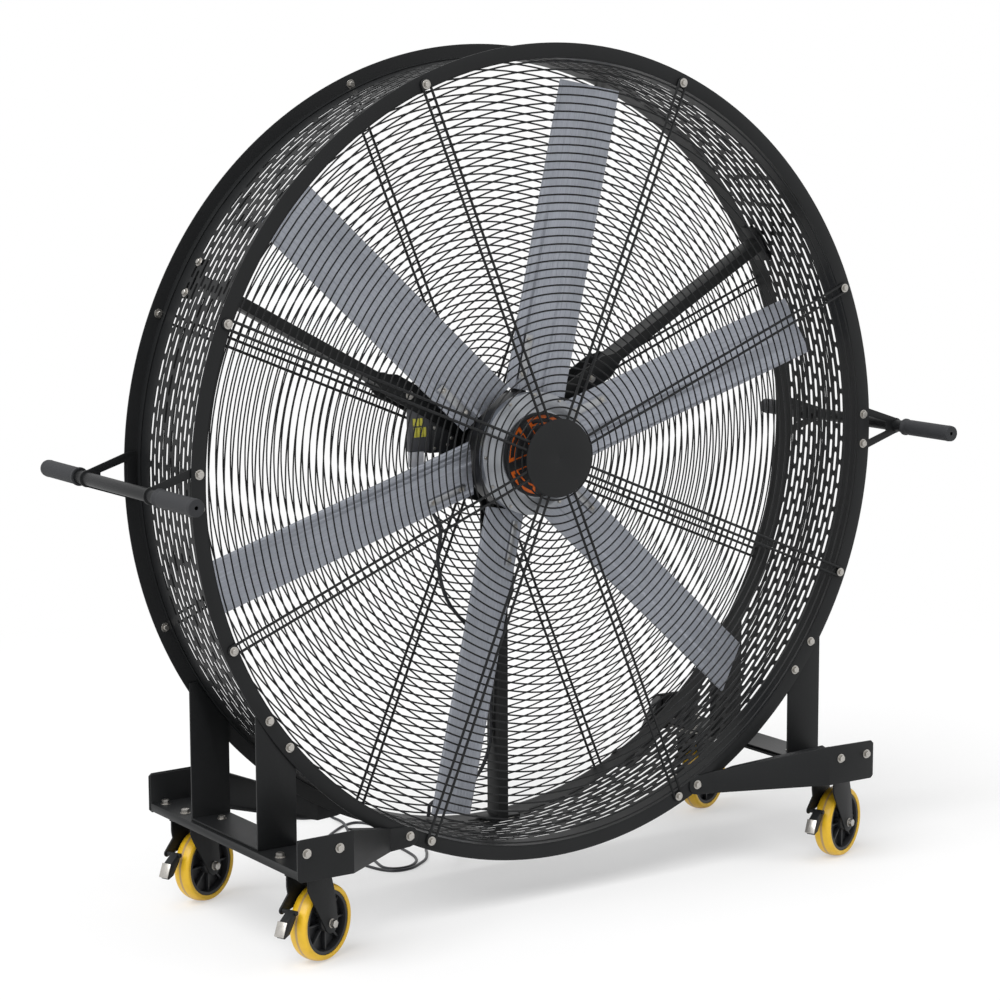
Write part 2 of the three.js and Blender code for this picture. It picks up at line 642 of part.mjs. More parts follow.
// Base plates: a flat plate with a lip along its outer side and upturned ends.
function basePlate() {
  const floor = BASE_TOP_Z - BASE_PLATE;
  const plate = block([BASE_INNER_X, -BASE_HALF_LENGTH, floor], [BASE_OUTER_X, BASE_HALF_LENGTH, BASE_TOP_Z]);
  const lip = block(
    [BASE_OUTER_X - BASE_PLATE, -BASE_HALF_LENGTH, BASE_TOP_Z - BASE_LIP_DEPTH],
    [BASE_OUTER_X, BASE_HALF_LENGTH, BASE_TOP_Z],
  );
  const ends = [-BASE_HALF_LENGTH, BASE_HALF_LENGTH - BASE_PLATE].map((y) => block(
    [BASE_INNER_X, y, floor],
    [BASE_OUTER_X, y + BASE_PLATE, BASE_TOP_Z + BASE_END_HEIGHT],
  ));
  return join(plate, lip, ...ends);
}

// A corner arm of bent plate: a flat on the base's end, a sloping run, and a flat on the flange.
// The run has a lip along its upper and its lower edge.
function cornerArm() {
  const outerX = ARM_OUTER_BEND_X;
  const outerY = BASE_HALF_LENGTH + GAP;
  const innerX = ARM_INNER_BEND_X;
  const innerY = DRUM_FACE + GAP;
  const boltZ = AXIS_HEIGHT - ARM_BOLT_DROP;
  const tail = ARM_BOLT_X - ARM_END_RADIUS;
  const top = BASE_TOP_Z + BASE_END_HEIGHT + ARM_MARGIN;
  const bottom = BASE_TOP_Z - BASE_LIP_DEPTH - 1.5 * ARM_MARGIN;
  const innerTop = boltZ + ARM_INNER_HALF_HEIGHT;
  const innerBottom = boltZ - ARM_INNER_HALF_HEIGHT;
  const run = v2(innerX - outerX, outerY - innerY);
  const inward = v2(run.y, -run.x).normalize();
  const bend = (ARM_PLATE * (1 - inward.y)) / inward.x;
  const plan = polygon([
    [ARM_FAR_X, -outerY - ARM_PLATE], [ARM_FAR_X, -outerY], [outerX + bend, -outerY],
    [innerX + bend, -innerY], [tail, -innerY], [tail, -innerY - ARM_PLATE],
    [innerX, -innerY - ARM_PLATE], [outerX, -outerY - ARM_PLATE],
  ]);
  const beside = (along, offset) => v2(outerX + bend, -outerY)
    .addScaledVector(run, along).addScaledVector(inward, offset).toArray();
  const silhouette = new THREE.Shape();
  silhouette.moveTo(ARM_FAR_X, bottom + 2 * ARM_MARGIN);
  silhouette.lineTo(ARM_FAR_X, top - 2.5 * ARM_MARGIN);
  silhouette.lineTo(ARM_FAR_X - 2 * ARM_MARGIN, top - ARM_MARGIN / 2);
  silhouette.lineTo(outerX, top);
  silhouette.lineTo(innerX, innerTop);
  silhouette.lineTo(ARM_BOLT_X, boltZ + ARM_END_RADIUS);
  silhouette.absarc(ARM_BOLT_X, boltZ, ARM_END_RADIUS, Math.PI / 2, 1.5 * Math.PI, false);
  silhouette.lineTo(innerX, innerBottom);
  silhouette.lineTo(outerX, bottom);
  silhouette.lineTo(ARM_FAR_X - 2 * ARM_MARGIN, bottom);
  const near = -innerY + 2 * ARM_LIP;
  const far = -outerY - 2 * ARM_PLATE;
  const sheet = overlapOf(flatPlate(plan, innerBottom - 1, top + 1), uprightPlate(silhouette, far, near));
  const lipPlan = flatPlate(polygon([
    beside(0.03, -1), beside(0.06, ARM_LIP), beside(0.84, ARM_LIP / 2), beside(0.92, -1),
  ]), innerBottom - 1, top + 1);
  const lips = [
    [top, innerTop],
    [bottom + ARM_LIP_THICKNESS, innerBottom + ARM_LIP_THICKNESS],
  ].map(([outerZ, innerZ]) => uprightPlate(polygon([
    [outerX, outerZ], [innerX, innerZ],
    [innerX, innerZ - ARM_LIP_THICKNESS], [outerX, outerZ - ARM_LIP_THICKNESS],
  ]), far, near));
  return join(sheet, ...lips.map((lip) => overlapOf(lipPlan, lip)));
}

// Mirrors a geometry in the YZ or XZ plane, and turns its triangles the right way out again.
function mirrored(geometry, x, y) {
  const copy = (geometry.index ? geometry.toNonIndexed() : geometry.clone()).scale(x, y, 1);
  if (x * y < 0) {
    const position = copy.attributes.position;
    for (let first = 0; first < position.count; first += 3) {
      const second = v3().fromBufferAttribute(position, first + 1);
      const third = v3().fromBufferAttribute(position, first + 2);
      position.setXYZ(first + 1, third.x, third.y, third.z);
      position.setXYZ(first + 2, second.x, second.y, second.z);
    }
  }
  copy.computeVertexNormals();
  return copy;
}

const SIDES = { left: -1, right: 1 };
const ENDS = { front: -1, rear: 1 };

for (const [place, x] of Object.entries(SIDES)) {
  fan.add(part(`stand_${place}`, 'blackCoat', mirrored(stand(), x, 1)));
  fan.add(part(`base_plate_${place}`, 'blackCoat', mirrored(basePlate(), x, 1)));
  drum.add(part(`handle_${place}`, 'blackCoat', mirrored(handle(), x, 1)));
  for (const [end, y] of Object.entries(ENDS)) {
    drum.add(part(`grip_${end}_${place}`, 'blackRubber', mirrored(grip(), x, y)));
    fan.add(part(`arm_${end}_${place}`, 'blackCoat', mirrored(cornerArm(), x, -y)));
  }
}

// A caster's fork: the swivel head, two tapering legs, the axle, and ears for the pedal.
function fork() {
  const head = disc(SWIVEL_HEAD_RADIUS, 238, SWIVEL_SEAT_Z - GAP, BEARING_FACETS).rotateX(Math.PI / 2);
  const halfTop = FORK_TOP_WIDTH / 2;
  const outer = FORK_GAP / 2 + FORK_PLATE;
  const crown = block([-halfTop, -outer, 234], [halfTop, outer, 240]);
  const [pivotX, pivotZ] = PEDAL_PIVOT;
  const leg = new THREE.Shape();
  leg.moveTo(halfTop, 236);
  leg.lineTo(-halfTop, 236);
  leg.lineTo(-halfTop, 190);
  leg.lineTo(pivotX - 12, pivotZ + 8);
  leg.absarc(pivotX, pivotZ, 12, Math.PI, 1.5 * Math.PI, false);
  leg.lineTo(-22, 146);
  leg.lineTo(CASTER_TRAIL - 25, WHEEL_RADIUS);
  leg.absarc(CASTER_TRAIL, WHEEL_RADIUS, 25, Math.PI, 2 * Math.PI, false);
  const legs = [-outer, outer - FORK_PLATE].map((y) => uprightPlate(leg, y, y + FORK_PLATE, 2));
  const axle = disc(AXLE_RADIUS, -outer - 12, outer + 12, 8).translate(CASTER_TRAIL, 0, WHEEL_RADIUS);
  return join(head, crown, ...legs, axle);
}

// A rim with a hub, a thin web and a seat for the tyre.
function rim() {
  const hubHalf = 27;
  const seatHalf = 22;
  const webHalf = 8;
  const bore = AXLE_RADIUS + 0.5;
  return turned([
    [bore, -hubHalf], [28, -webHalf], [RIM_RADIUS, -seatHalf],
    [RIM_RADIUS, seatHalf], [28, webHalf], [bore, hubHalf],
  ], WHEEL_FACETS, Math.PI / WHEEL_FACETS);
}

// The tyre stands on a flat facet, so its corners lie just outside the wheel's radius.
function tyre() {
  const facetAngle = Math.PI / WHEEL_FACETS;
  const tread = WHEEL_RADIUS / Math.cos(facetAngle);
  const bore = RIM_RADIUS + 0.4;
  const half = WHEEL_WIDTH / 2;
  return turned([
    [bore, -half + 3], [tread - 9, -half + 1], [tread, -half + 9], [tread, half - 9], [tread - 9, half - 1],
    [bore, half - 3],
  ], WHEEL_FACETS, facetAngle);
}

// The brake pedal: a barrel between the fork's ears and a bent tongue in front of the wheel.
function pedal() {
  const [pivotX, pivotZ] = PEDAL_PIVOT;
  const [tipX, tipZ] = PEDAL_TIP;
  const barrel = disc(6, -FORK_GAP / 2 + 0.5, FORK_GAP / 2 - 0.5, 8).translate(pivotX, 0, pivotZ);
  const tongue = uprightPlate(polygon([
    [pivotX - 2, pivotZ - 5], [pivotX + 3, pivotZ], [pivotX - 34, pivotZ - 19], [tipX, tipZ + 4],
    [tipX - 8, tipZ], [tipX - 8, tipZ - 5], [tipX, tipZ - 1], [pivotX - 36, pivotZ - 24],
  ]), -PEDAL_WIDTH / 2, PEDAL_WIDTH / 2);
  return join(barrel, tongue);
}

// A caster's fixed top plate with the upper half of its swivel bearing.
function casterPlate() {
  const [width, length, thickness] = CASTER_PLATE_SIZE;
  const top = BASE_TOP_Z - BASE_PLATE - GAP;
  const floor = top - thickness;
  const plate = block([-width / 2, -length / 2, floor], [width / 2, length / 2, top]);
  const race = disc(SWIVEL_HEAD_RADIUS + 3, SWIVEL_SEAT_Z, floor + 1, BEARING_FACETS).rotateX(Math.PI / 2);
  return join(plate, race);
}

for (const [end, y] of Object.entries(ENDS)) {
  for (const [place, x] of Object.entries(SIDES)) {
    const caster = new THREE.Group();
    caster.position.set(x * CASTER_X, y * CASTER_Y, 0);
    caster.add(part(`caster_${end}_${place}_plate`, 'zinc', casterPlate()));
    const swivel = new THREE.Group();
    swivel.rotation.z = degrees(CASTER_HEADING_DEG);
    swivel.add(part(`caster_${end}_${place}_fork`, 'blackCoat', fork()));
    swivel.add(part(`caster_${end}_${place}_pedal`, 'zinc', pedal()));
    const wheel = new THREE.Group();
    wheel.position.set(CASTER_TRAIL, 0, WHEEL_RADIUS);
    wheel.add(part(`caster_${end}_${place}_rim`, 'blackPlastic', rim()));
    wheel.add(part(`caster_${end}_${place}_tyre`, 'yellow', tyre()));
    swivel.add(wheel);
    caster.add(swivel);
    fan.add(caster);
  }
}

// The gland under the drum's rear margin, square to the shell.
function cordGland() {
  const body = turned([
    [0, 0], [13, 0], [13, 9], [10, 11], [10, 18], [7, GLAND_LENGTH], [0, GLAND_LENGTH],
  ], 10);
  const seat = (DRUM_INNER_RADIUS + SHELL_THICKNESS) * Math.cos(Math.PI / DRUM_FACETS) + GAP;
  return body.rotateX(Math.PI / 2).translate(0, GLAND_Y, seat);
}

const gland = part('cord_gland', 'blackPlastic', cordGland());
gland.rotation.y = degrees(GLAND_DEG);
drum.add(gland);

// The cord's start below the gland, and its first stretch in line with the gland.
const glandReach = (DRUM_INNER_RADIUS + SHELL_THICKNESS) * Math.cos(Math.PI / DRUM_FACETS)
  + GLAND_LENGTH + 2 * GAP;
const belowGland = (drop) => v3(
  (glandReach + drop) * Math.sin(degrees(GLAND_DEG)),
  GLAND_Y,
  AXIS_HEIGHT + (glandReach + drop) * Math.cos(degrees(GLAND_DEG)),
);
const floorZ = CORD_RADIUS + GAP;
const overZ = floorZ + 2 * CORD_RADIUS + 2;

// Where the coil starts: its first point and the direction in which the cord arrives.
const coilOuterRadius = COIL_MEAN_RADIUS + (COIL_TURNS_PER_LAYER * COIL_TURN_PITCH) / 2;
const coilStart = v3(COIL_CENTRE[0] + coilOuterRadius, COIL_CENTRE[1], floorZ);

// The cord falls from the gland, makes two loose loops on the floor and runs on to the coil.
const CORD_ROUTE = [
  belowGland(0), belowGland(12), v3(-190, 162, 94), v3(-130, 196, 62), v3(-48, 262, 38), v3(12, 350, 18),
  v3(2, 428, 8), v3(-42, 412, floorZ), v3(-77, 357, floorZ), v3(-109, 313, floorZ), v3(-143, 286, floorZ),
  v3(-190, 259, floorZ), v3(-237, 259, floorZ), v3(-263, 283, floorZ), v3(-282, 349, floorZ),
  v3(-286, 450, floorZ), v3(-266, 570, floorZ), v3(-236, 650, floorZ), v3(-189, 699, floorZ),
  v3(-112, 754, floorZ), v3(-75, 762, floorZ), v3(-52, 740, floorZ), v3(-46, 680, floorZ),
  v3(-66, 600, floorZ), v3(-94, 530, floorZ), v3(-105, 473, floorZ), v3(-112, 404, floorZ),
  v3(-123, 347, floorZ), v3(-146, 305, floorZ), v3(-187, 276, floorZ), v3(-228, 278, floorZ),
  v3(-250, 303, floorZ), v3(-237, 379, floorZ), v3(-210, 480, floorZ), v3(-182, 580, floorZ),
  v3(-158, 650, 7), v3(-140, 700, overZ - 2), v3(-126, 740, overZ), v3(-112, 790, overZ - 4),
  v3(-100, 845, floorZ), v3(coilStart.x, coilStart.y - 34, floorZ), v3(coilStart.x, coilStart.y - 9, floorZ),
];
fan.add(part('cord_run', 'blackRubber', tubeAlong(CORD_ROUTE, CORD_RADIUS, CORD_SIDES, CORD_STEPS)));

// The coil's turns: the radius swings in and out at a steady rate and the cord climbs a layer
// in the half turn where it reverses.
function coilPoints() {
  const turns = COIL_LAYERS * COIL_TURNS_PER_LAYER;
  const count = Math.round(turns * COIL_STEPS_PER_TURN);
  const points = [];
  for (let index = 0; index <= count; index += 1) {
    const turn = index / COIL_STEPS_PER_TURN;
    const layer = turn / COIL_TURNS_PER_LAYER;
    const swing = Math.abs((layer % 2) - 1);
    const radius = coilOuterRadius - (1 - swing) * COIL_TURNS_PER_LAYER * COIL_TURN_PITCH;
    const nearest = Math.round(layer);
    const away = (layer - nearest) * COIL_TURNS_PER_LAYER;
    const inside = nearest > 0 && nearest < COIL_LAYERS;
    const climb = inside ? THREE.MathUtils.clamp(away / 0.5 + 0.5, 0, 1) + nearest - 1 : Math.floor(layer);
    const level = Math.min(climb, COIL_LAYERS - 1);
    const angle = 2 * Math.PI * turn;
    points.push(v3(
      COIL_CENTRE[0] + radius * Math.cos(angle),
      COIL_CENTRE[1] + radius * Math.sin(angle),
      floorZ + level * COIL_LAYER_PITCH,
    ));
  }
  return points;
}

// The whole coil with a straight lead-in and a tail that comes down beside it to the plug.
const turnsOfCoil = coilPoints();
const tailHeading = turnsOfCoil.at(-1).clone().sub(turnsOfCoil.at(-2)).setZ(0).normalize();
const tailPoint = (distance, z) => turnsOfCoil.at(-1).clone().addScaledVector(tailHeading, distance).setZ(z);
const plugZ = PLUG_RADIUS + 0.4;
const coilRoute = [
  v3(coilStart.x, coilStart.y - 9 + GAP, floorZ), ...turnsOfCoil,
  tailPoint(22, floorZ + 24), tailPoint(44, plugZ + 1), tailPoint(60, plugZ), tailPoint(70, plugZ),
];
const coilSteps = Math.round(COIL_STEPS_PER_TURN * (COIL_LAYERS * COIL_TURNS_PER_LAYER + 0.4));
fan.add(part('cord_coil', 'blackRubber', tubeAlong(coilRoute, CORD_RADIUS, COIL_SIDES, coilSteps)));
console.log(`cord_run clears itself by ${selfGap(CORD_ROUTE, CORD_RADIUS, CORD_STEPS).toFixed(2)} mm`);
console.log(`cord_coil clears itself by ${selfGap(coilRoute, CORD_RADIUS, coilSteps).toFixed(2)} mm`);

// The plug: a moulded body with two round pins, lying where the coil's tail ends.
function plugBody() {
  const body = turned([
    [0, 0], [6, 0], [7.5, 14], [12, 19], [PLUG_RADIUS, 30], [PLUG_RADIUS, PLUG_LENGTH], [0, PLUG_LENGTH],
  ], 12);
  const pins = [-9.5, 9.5].map((x) => disc(2.4, PLUG_LENGTH - 1, PLUG_LENGTH + 19, 8).translate(x, 0, 0));
  return join(body, ...pins);
}

const plug = part('plug', 'blackRubber', plugBody());
plug.position.copy(tailPoint(70 + GAP, plugZ));
plug.quaternion.setFromUnitVectors(v3(0, 1, 0), tailHeading);
fan.add(plug);

export default fan;
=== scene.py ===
import bmesh
import bpy
import math
from mathutils import Matrix, Vector
from mathutils.geometry import tessellate_polygon


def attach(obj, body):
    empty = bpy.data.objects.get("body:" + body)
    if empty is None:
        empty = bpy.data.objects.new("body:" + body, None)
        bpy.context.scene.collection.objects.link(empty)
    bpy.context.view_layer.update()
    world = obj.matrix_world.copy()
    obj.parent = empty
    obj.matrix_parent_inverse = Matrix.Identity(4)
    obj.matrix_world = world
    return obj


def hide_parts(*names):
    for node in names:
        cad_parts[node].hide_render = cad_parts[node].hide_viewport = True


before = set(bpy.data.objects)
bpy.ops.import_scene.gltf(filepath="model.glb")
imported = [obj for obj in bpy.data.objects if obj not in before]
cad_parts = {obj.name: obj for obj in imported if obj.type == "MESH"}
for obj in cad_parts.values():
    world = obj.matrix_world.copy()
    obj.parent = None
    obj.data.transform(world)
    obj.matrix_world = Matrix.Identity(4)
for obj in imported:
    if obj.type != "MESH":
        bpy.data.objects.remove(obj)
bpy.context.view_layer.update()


# --- Camera ----------------------------------------------------------------------------------
# A portrait lens stands off the fan's front left corner, just above its hub, and looks a little
# down, so that the near handle and the slotted drum's side both show.
camera_place = Vector((-4.1959, -6.2143, 2.2106))
camera_yaw = math.radians(33.646)
camera_pitch = math.radians(-8.693)
camera_roll = math.radians(-0.186)

looking = Vector((math.sin(camera_yaw) * math.cos(camera_pitch),
                  math.cos(camera_yaw) * math.cos(camera_pitch),
                  math.sin(camera_pitch)))
level_right = looking.cross(Vector((0, 0, 1))).normalized()
level_up = level_right.cross(looking)
camera_right = math.cos(camera_roll) * level_right + math.sin(camera_roll) * level_up
camera_up = math.cos(camera_roll) * level_up - math.sin(camera_roll) * level_right
camera_data = bpy.data.cameras.new("camera")
camera_data.sensor_width = 36
camera_data.lens = 100.87
camera_data.clip_end = 60
camera = bpy.data.objects.new("camera", camera_data)
bpy.context.scene.collection.objects.link(camera)
camera.matrix_world = Matrix.Translation(camera_place) @ Matrix(
    (camera_right, camera_up, -looking)).transposed().to_4x4()
bpy.context.scene.camera = camera


# --- Power cord ------------------------------------------------------------------------------
# A round flexible lead in black PVC. It drops from the gland under the drum, lies in two loose
# loops on the floor, and the rest of it is wound in a neat coil behind the fan.
def linear(colour):
    """A colour written as sRGB hex, such as "#2b2c2d", as the linear values that shaders take."""
    channels = [int(colour[place:place + 2], 16) / 255 for place in (1, 3, 5)]
    return tuple(c / 12.92 if c <= 0.04045 else ((c + 0.055) / 1.055) ** 2.4 for c in channels) + (1.0,)


def add_node(tree, kind, inputs=None, **settings):
    """A node with its settings; inputs are values, or the nodes or sockets that feed them."""
    made = tree.nodes.new(kind)
    for name, value in settings.items():
        setattr(made, name, value)
    for name, value in (inputs or {}).items():
        if isinstance(value, bpy.types.Node):
            value = value.outputs[0]
        if isinstance(value, bpy.types.NodeSocket):
            tree.links.new(value, made.inputs[name])
        else:
            made.inputs[name].default_value = value
    return made


def new_material(name, surface):
    """A material with one Principled shader; surface gives its constant inputs."""
    material = bpy.data.materials.new(name)
    material.use_nodes = True
    tree = material.node_tree
    tree.nodes.clear()
    shader = add_node(tree, "ShaderNodeBsdfPrincipled", surface)
    add_node(tree, "ShaderNodeOutputMaterial", {"Surface": shader})
    return material, tree, shader


def even_skin(name, dark, light, scale, detail, surface, relief=None):
    """An even finish between two tones: a fine noise shifts the tone, and with a relief of
    (strength, depth) the surface too."""
    material, tree, shader = new_material(name, surface)
    place = add_node(tree, "ShaderNodeTexCoord")
    grain = add_node(tree, "ShaderNodeTexNoise",
                     {"Vector": place.outputs["Object"], "Scale": scale, "Detail": detail})
    tone = add_node(tree, "ShaderNodeMix", {0: grain, 6: linear(dark), 7: linear(light)},
                    data_type="RGBA")
    tree.links.new(tone.outputs[2], shader.inputs["Base Color"])
    if relief:
        strength, depth = relief
        bump = add_node(tree, "ShaderNodeBump",
                        {"Height": grain, "Strength": strength, "Distance": depth})
        tree.links.new(bump.outputs[0], shader.inputs["Normal"])
    return material


# Soft PVC moulded over the cores: even black with a bluish sheen and the faintest drag marks.
pvc_black = even_skin("soft_pvc_black", "#1b1c20", "#26282e", 240.0, 3.0,
                      {"Roughness": 0.42, "IOR": 1.5, "Specular IOR Level": 0.45}, relief=(0.15, 0.0004))


def smooth_path(points):
    """Points along a centripetal Catmull-Rom curve through the given ones, open at both ends."""
    per_span = 6
    ends = [points[0] + (points[0] - points[1]), *points, points[-1] + (points[-1] - points[-2])]
    path = []
    for a, b, c, d in zip(ends, ends[1:], ends[2:], ends[3:]):
        ta, tb = 0, (b - a).length ** 0.5
        tc = tb + (c - b).length ** 0.5
        td = tc + (d - c).length ** 0.5
        for step in range(per_span):
            t = tb + (tc - tb) * step / per_span
            ab = a.lerp(b, (t - ta) / (tb - ta))
            bc = b.lerp(c, (t - tb) / (tc - tb))
            cd = c.lerp(d, (t - tc) / (td - tc))
            abc = ab.lerp(bc, (t - ta) / (tc - ta))
            bcd = bc.lerp(cd, (t - tb) / (td - tb))
            path.append(abc.lerp(bcd, (t - tb) / (tc - tb)))
    path.append(points[-1].copy())
    return path


def round_cord(name, path, radius, material):
    """A cord as a curve of one open spline with a round section."""
    curve = bpy.data.curves.new(name, "CURVE")
    curve.dimensions = "3D"
    curve.bevel_depth = radius
    curve.bevel_resolution = 6
    curve.use_fill_caps = True
    spline = curve.splines.new("POLY")
    spline.points.add(len(path) - 1)
    for point, where in zip(spline.points, path):
        point.co = (*where, 1)
    curve.materials.append(material)
    cord = bpy.data.objects.new(name, curve)
    bpy.context.scene.collection.objects.link(cord)
    return cord


axis_height = 1.2
seat_gap = 0.0003
shell_outer = 1.0475
# The gland stands on one of the 48 flats of the drum's solid, and the middle of a flat lies this
# much nearer the axis than its edges.
flat_share = math.cos(math.pi / 48)
gland_angle = math.radians(191.25)
gland_y = 0.148
gland_length = 0.0260
gland_end = shell_outer * flat_share + gland_length + 2 * seat_gap
cord_radius = 0.0042
floor_z = cord_radius + seat_gap
over_z = floor_z + 2 * cord_radius + 0.002


def below_gland(drop):
    """A point straight under the gland's mouth, at a drop from it."""
    reach = gland_end + drop
    return Vector((reach * math.sin(gland_angle), gland_y, axis_height + reach * math.cos(gland_angle)))


coil_centre = Vector((-0.150, 0.930, 0))
coil_mean_radius = 0.046
coil_turn_pitch = 0.0095
coil_layer_pitch = 0.0093
coil_layers = 4
coil_turns_per_layer = 2
coil_steps = 24
coil_outer = coil_mean_radius + coil_turns_per_layer * coil_turn_pitch / 2
coil_start = coil_centre + Vector((coil_outer, 0, floor_z))

# The way down from the gland, the two loops on the floor, and the way over them to the coil.
way_down = [(-0.190, 0.162, 0.094), (-0.130, 0.196, 0.062), (-0.048, 0.262, 0.038),
            (0.012, 0.350, 0.018), (0.002, 0.428, 0.008)]
floor_loops = [
    (-0.042, 0.412), (-0.077, 0.357), (-0.109, 0.313), (-0.143, 0.286), (-0.190, 0.259), (-0.237, 0.259),
    (-0.263, 0.283), (-0.282, 0.349), (-0.286, 0.450), (-0.266, 0.570), (-0.236, 0.650), (-0.189, 0.699),
    (-0.112, 0.754), (-0.075, 0.762), (-0.052, 0.740), (-0.046, 0.680), (-0.066, 0.600), (-0.094, 0.530),
    (-0.105, 0.473), (-0.112, 0.404), (-0.123, 0.347), (-0.146, 0.305), (-0.187, 0.276), (-0.228, 0.278),
    (-0.250, 0.303), (-0.237, 0.379), (-0.210, 0.480), (-0.182, 0.580)]
way_over = [(-0.158, 0.650, 0.007), (-0.140, 0.700, over_z - 0.002), (-0.126, 0.740, over_z),
            (-0.112, 0.790, over_z - 0.004), (-0.100, 0.845, floor_z)]
lead_points = [below_gland(0), below_gland(0.012)]
lead_points += [Vector(point) for point in way_down]
lead_points += [Vector((x, y, floor_z)) for x, y in floor_loops]
lead_points += [Vector(point) for point in way_over]
lead_points += [coil_start + Vector((0, -0.034, 0)), coil_start + Vector((0, -0.009, 0))]

# The coil's radius swings in and out at a steady rate, and the cord climbs a layer in the half
# turn where it reverses.
coil_points = []
for index in range(round(coil_layers * coil_turns_per_layer * coil_steps) + 1):
    turn = index / coil_steps
    layer = turn / coil_turns_per_layer
    swing = abs(layer % 2 - 1)
    radius = coil_outer - (1 - swing) * coil_turns_per_layer * coil_turn_pitch
    nearest = math.floor(layer + 0.5)
    away = (layer - nearest) * coil_turns_per_layer
    if 0 < nearest < coil_layers:
        climb = min(max(away / 0.5 + 0.5, 0), 1) + nearest - 1
    else:
        climb = math.floor(layer)
    level = min(climb, coil_layers - 1)
    coil_points.append(coil_centre + Vector((
        radius * math.cos(2 * math.pi * turn),
        radius * math.sin(2 * math.pi * turn),
        floor_z + level * coil_layer_pitch)))

plug_radius = 0.017
plug_z = plug_radius + 0.0004
tail_heading = coil_points[-1] - coil_points[-2]
tail_heading.z = 0
tail_heading.normalize()


def tail_point(distance, z):
    """A point past the coil's end, at a distance along the cord's last heading and a height."""
    where = coil_points[-1] + distance * tail_heading
    return Vector((where.x, where.y, z))


cord_points = lead_points + coil_points + [
    tail_point(0.022, floor_z + 0.024), tail_point(0.044, plug_z + 0.001), tail_point(0.060, plug_z),
    tail_point(0.0705, plug_z)]
cord_path = smooth_path(cord_points)
power_cord = round_cord("power_cord", cord_path, cord_radius, pvc_black)
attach(power_cord, "frame")
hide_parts("cord_run", "cord_coil")


# --- Plug ------------------------------------------------------------------------------------
# A moulded two-pin plug in the cord's own PVC: a ribbed tapered neck, a body waisted for the
# fingers, and two round nickel-plated pins.
def turned_mesh(profile, segments):
    """A profile of (radius, height) pairs turned about +Y, with its poles and seam merged. A profile
    that starts and ends on the axis is closed by its poles."""
    made = bmesh.new()
    rings = [[made.verts.new((r * math.sin(a), h, r * math.cos(a))) for r, h in profile]
             for a in (2 * math.pi * index / segments for index in range(segments))]
    count = len(profile)
    for ring, following in zip(rings, rings[1:] + rings[:1]):
        for low in range(count):
            high = (low + 1) % count
            if profile[low][0] == 0 and profile[high][0] == 0:
                continue
            made.faces.new((ring[low], ring[high], following[high], following[low]))
    bmesh.ops.remove_doubles(made, verts=made.verts, dist=1e-7)
    bmesh.ops.recalc_face_normals(made, faces=made.faces)
    return made


def as_object(name, made, material, crease=0.6, at=None):
    """A finished mesh object at the origin, smooth but for edges sharper than the crease. Its mesh is
    moved by a matrix first where one is given."""
    if at:
        made.transform(at)
    mesh = bpy.data.meshes.new(name)
    made.to_mesh(mesh)
    made.free()
    mesh.materials.append(material)
    mesh.shade_smooth()
    mesh.set_sharp_from_angle(angle=crease)
    piece = bpy.data.objects.new(name, mesh)
    bpy.context.scene.collection.objects.link(piece)
    return piece


def merged(*parts):
    """Several bmeshes as one."""
    whole = bmesh.new()
    for part in parts:
        scratch = bpy.data.meshes.new("scratch")
        part.to_mesh(scratch)
        part.free()
        whole.from_mesh(scratch)
        bpy.data.meshes.remove(scratch)
    return whole


def rounded_corners(profile, radius, steps=3):
    """The profile with each of its corners cut to a short arc."""
    rounded = []
    points = [Vector(point) for point in profile]
    for before, corner, after in zip(points[-1:] + points[:-1], points, points[1:] + points[:1]):
        back = before - corner
        ahead = after - corner
        reach = min(radius, back.length * 0.45, ahead.length * 0.45)
        start = corner + back.normalized() * reach
        end = corner + ahead.normalized() * reach
        for step in range(steps + 1):
            t = step / steps
            rounded.append(tuple(start.lerp(corner, t).lerp(corner.lerp(end, t), t)))
    return rounded


# Nickel-plated brass: warm silver, drawn smooth.
nickel, tree, shader = new_material(
    "nickel_plated_brass", {"Metallic": 1.0, "Roughness": 0.24, "Base Color": linear("#bdb8ad")})
place = add_node(tree, "ShaderNodeTexCoord")
wear = add_node(tree, "ShaderNodeTexNoise",
                {"Vector": place.outputs["Object"], "Scale": 300.0, "Detail": 2.0})
relief = add_node(tree, "ShaderNodeBump", {"Height": wear, "Strength": 0.1, "Distance": 0.0002})
tree.links.new(relief.outputs[0], shader.inputs["Normal"])

neck_ribs = 5
rib_pitch = 0.0035
rib_growth = 0.0006
plug_profile = [(0, 0)]
for rib in range(neck_ribs):
    low = 0.001 + rib * rib_pitch
    root = 0.0058 + rib * rib_growth
    crest = 0.0070 + rib * rib_growth
    plug_profile += [(root, low), (crest, low + 0.0006), (crest, low + 0.0020), (root, low + 0.0026)]
plug_profile += [(0.0115, 0.0195), (0.0150, 0.024), (0.0152, 0.034), (0.0140, 0.040), (0.0152, 0.045),
                 (0.0170, 0.048), (0.0170, 0.0505), (0.0160, 0.0515), (0, 0.0515)]
plug_body = turned_mesh(plug_profile, 40)
plug_turn = Vector((0, 1, 0)).rotation_difference(tail_heading).to_matrix().to_4x4()
plug_seat = Matrix.Translation(tail_point(0.0703, plug_z)) @ plug_turn
plug_body = as_object("plug_moulding", plug_body, pvc_black, 0.9, plug_seat)
pin_profile = [(0, 0.050), (0.0024, 0.050), (0.0024, 0.069), (0.0018, 0.0705), (0, 0.071)]
pin_spacing = 0.019
plug_pins = []
for side in (-pin_spacing / 2, pin_spacing / 2):
    pin = turned_mesh(pin_profile, 20)
    pin.transform(plug_seat @ Matrix.Translation((side, 0, 0)))
    plug_pins.append(pin)
plug_pins = as_object("plug_pins", merged(*plug_pins), nickel, 0.9)
for piece in (plug_body, plug_pins):
    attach(piece, "frame")
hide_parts("plug")


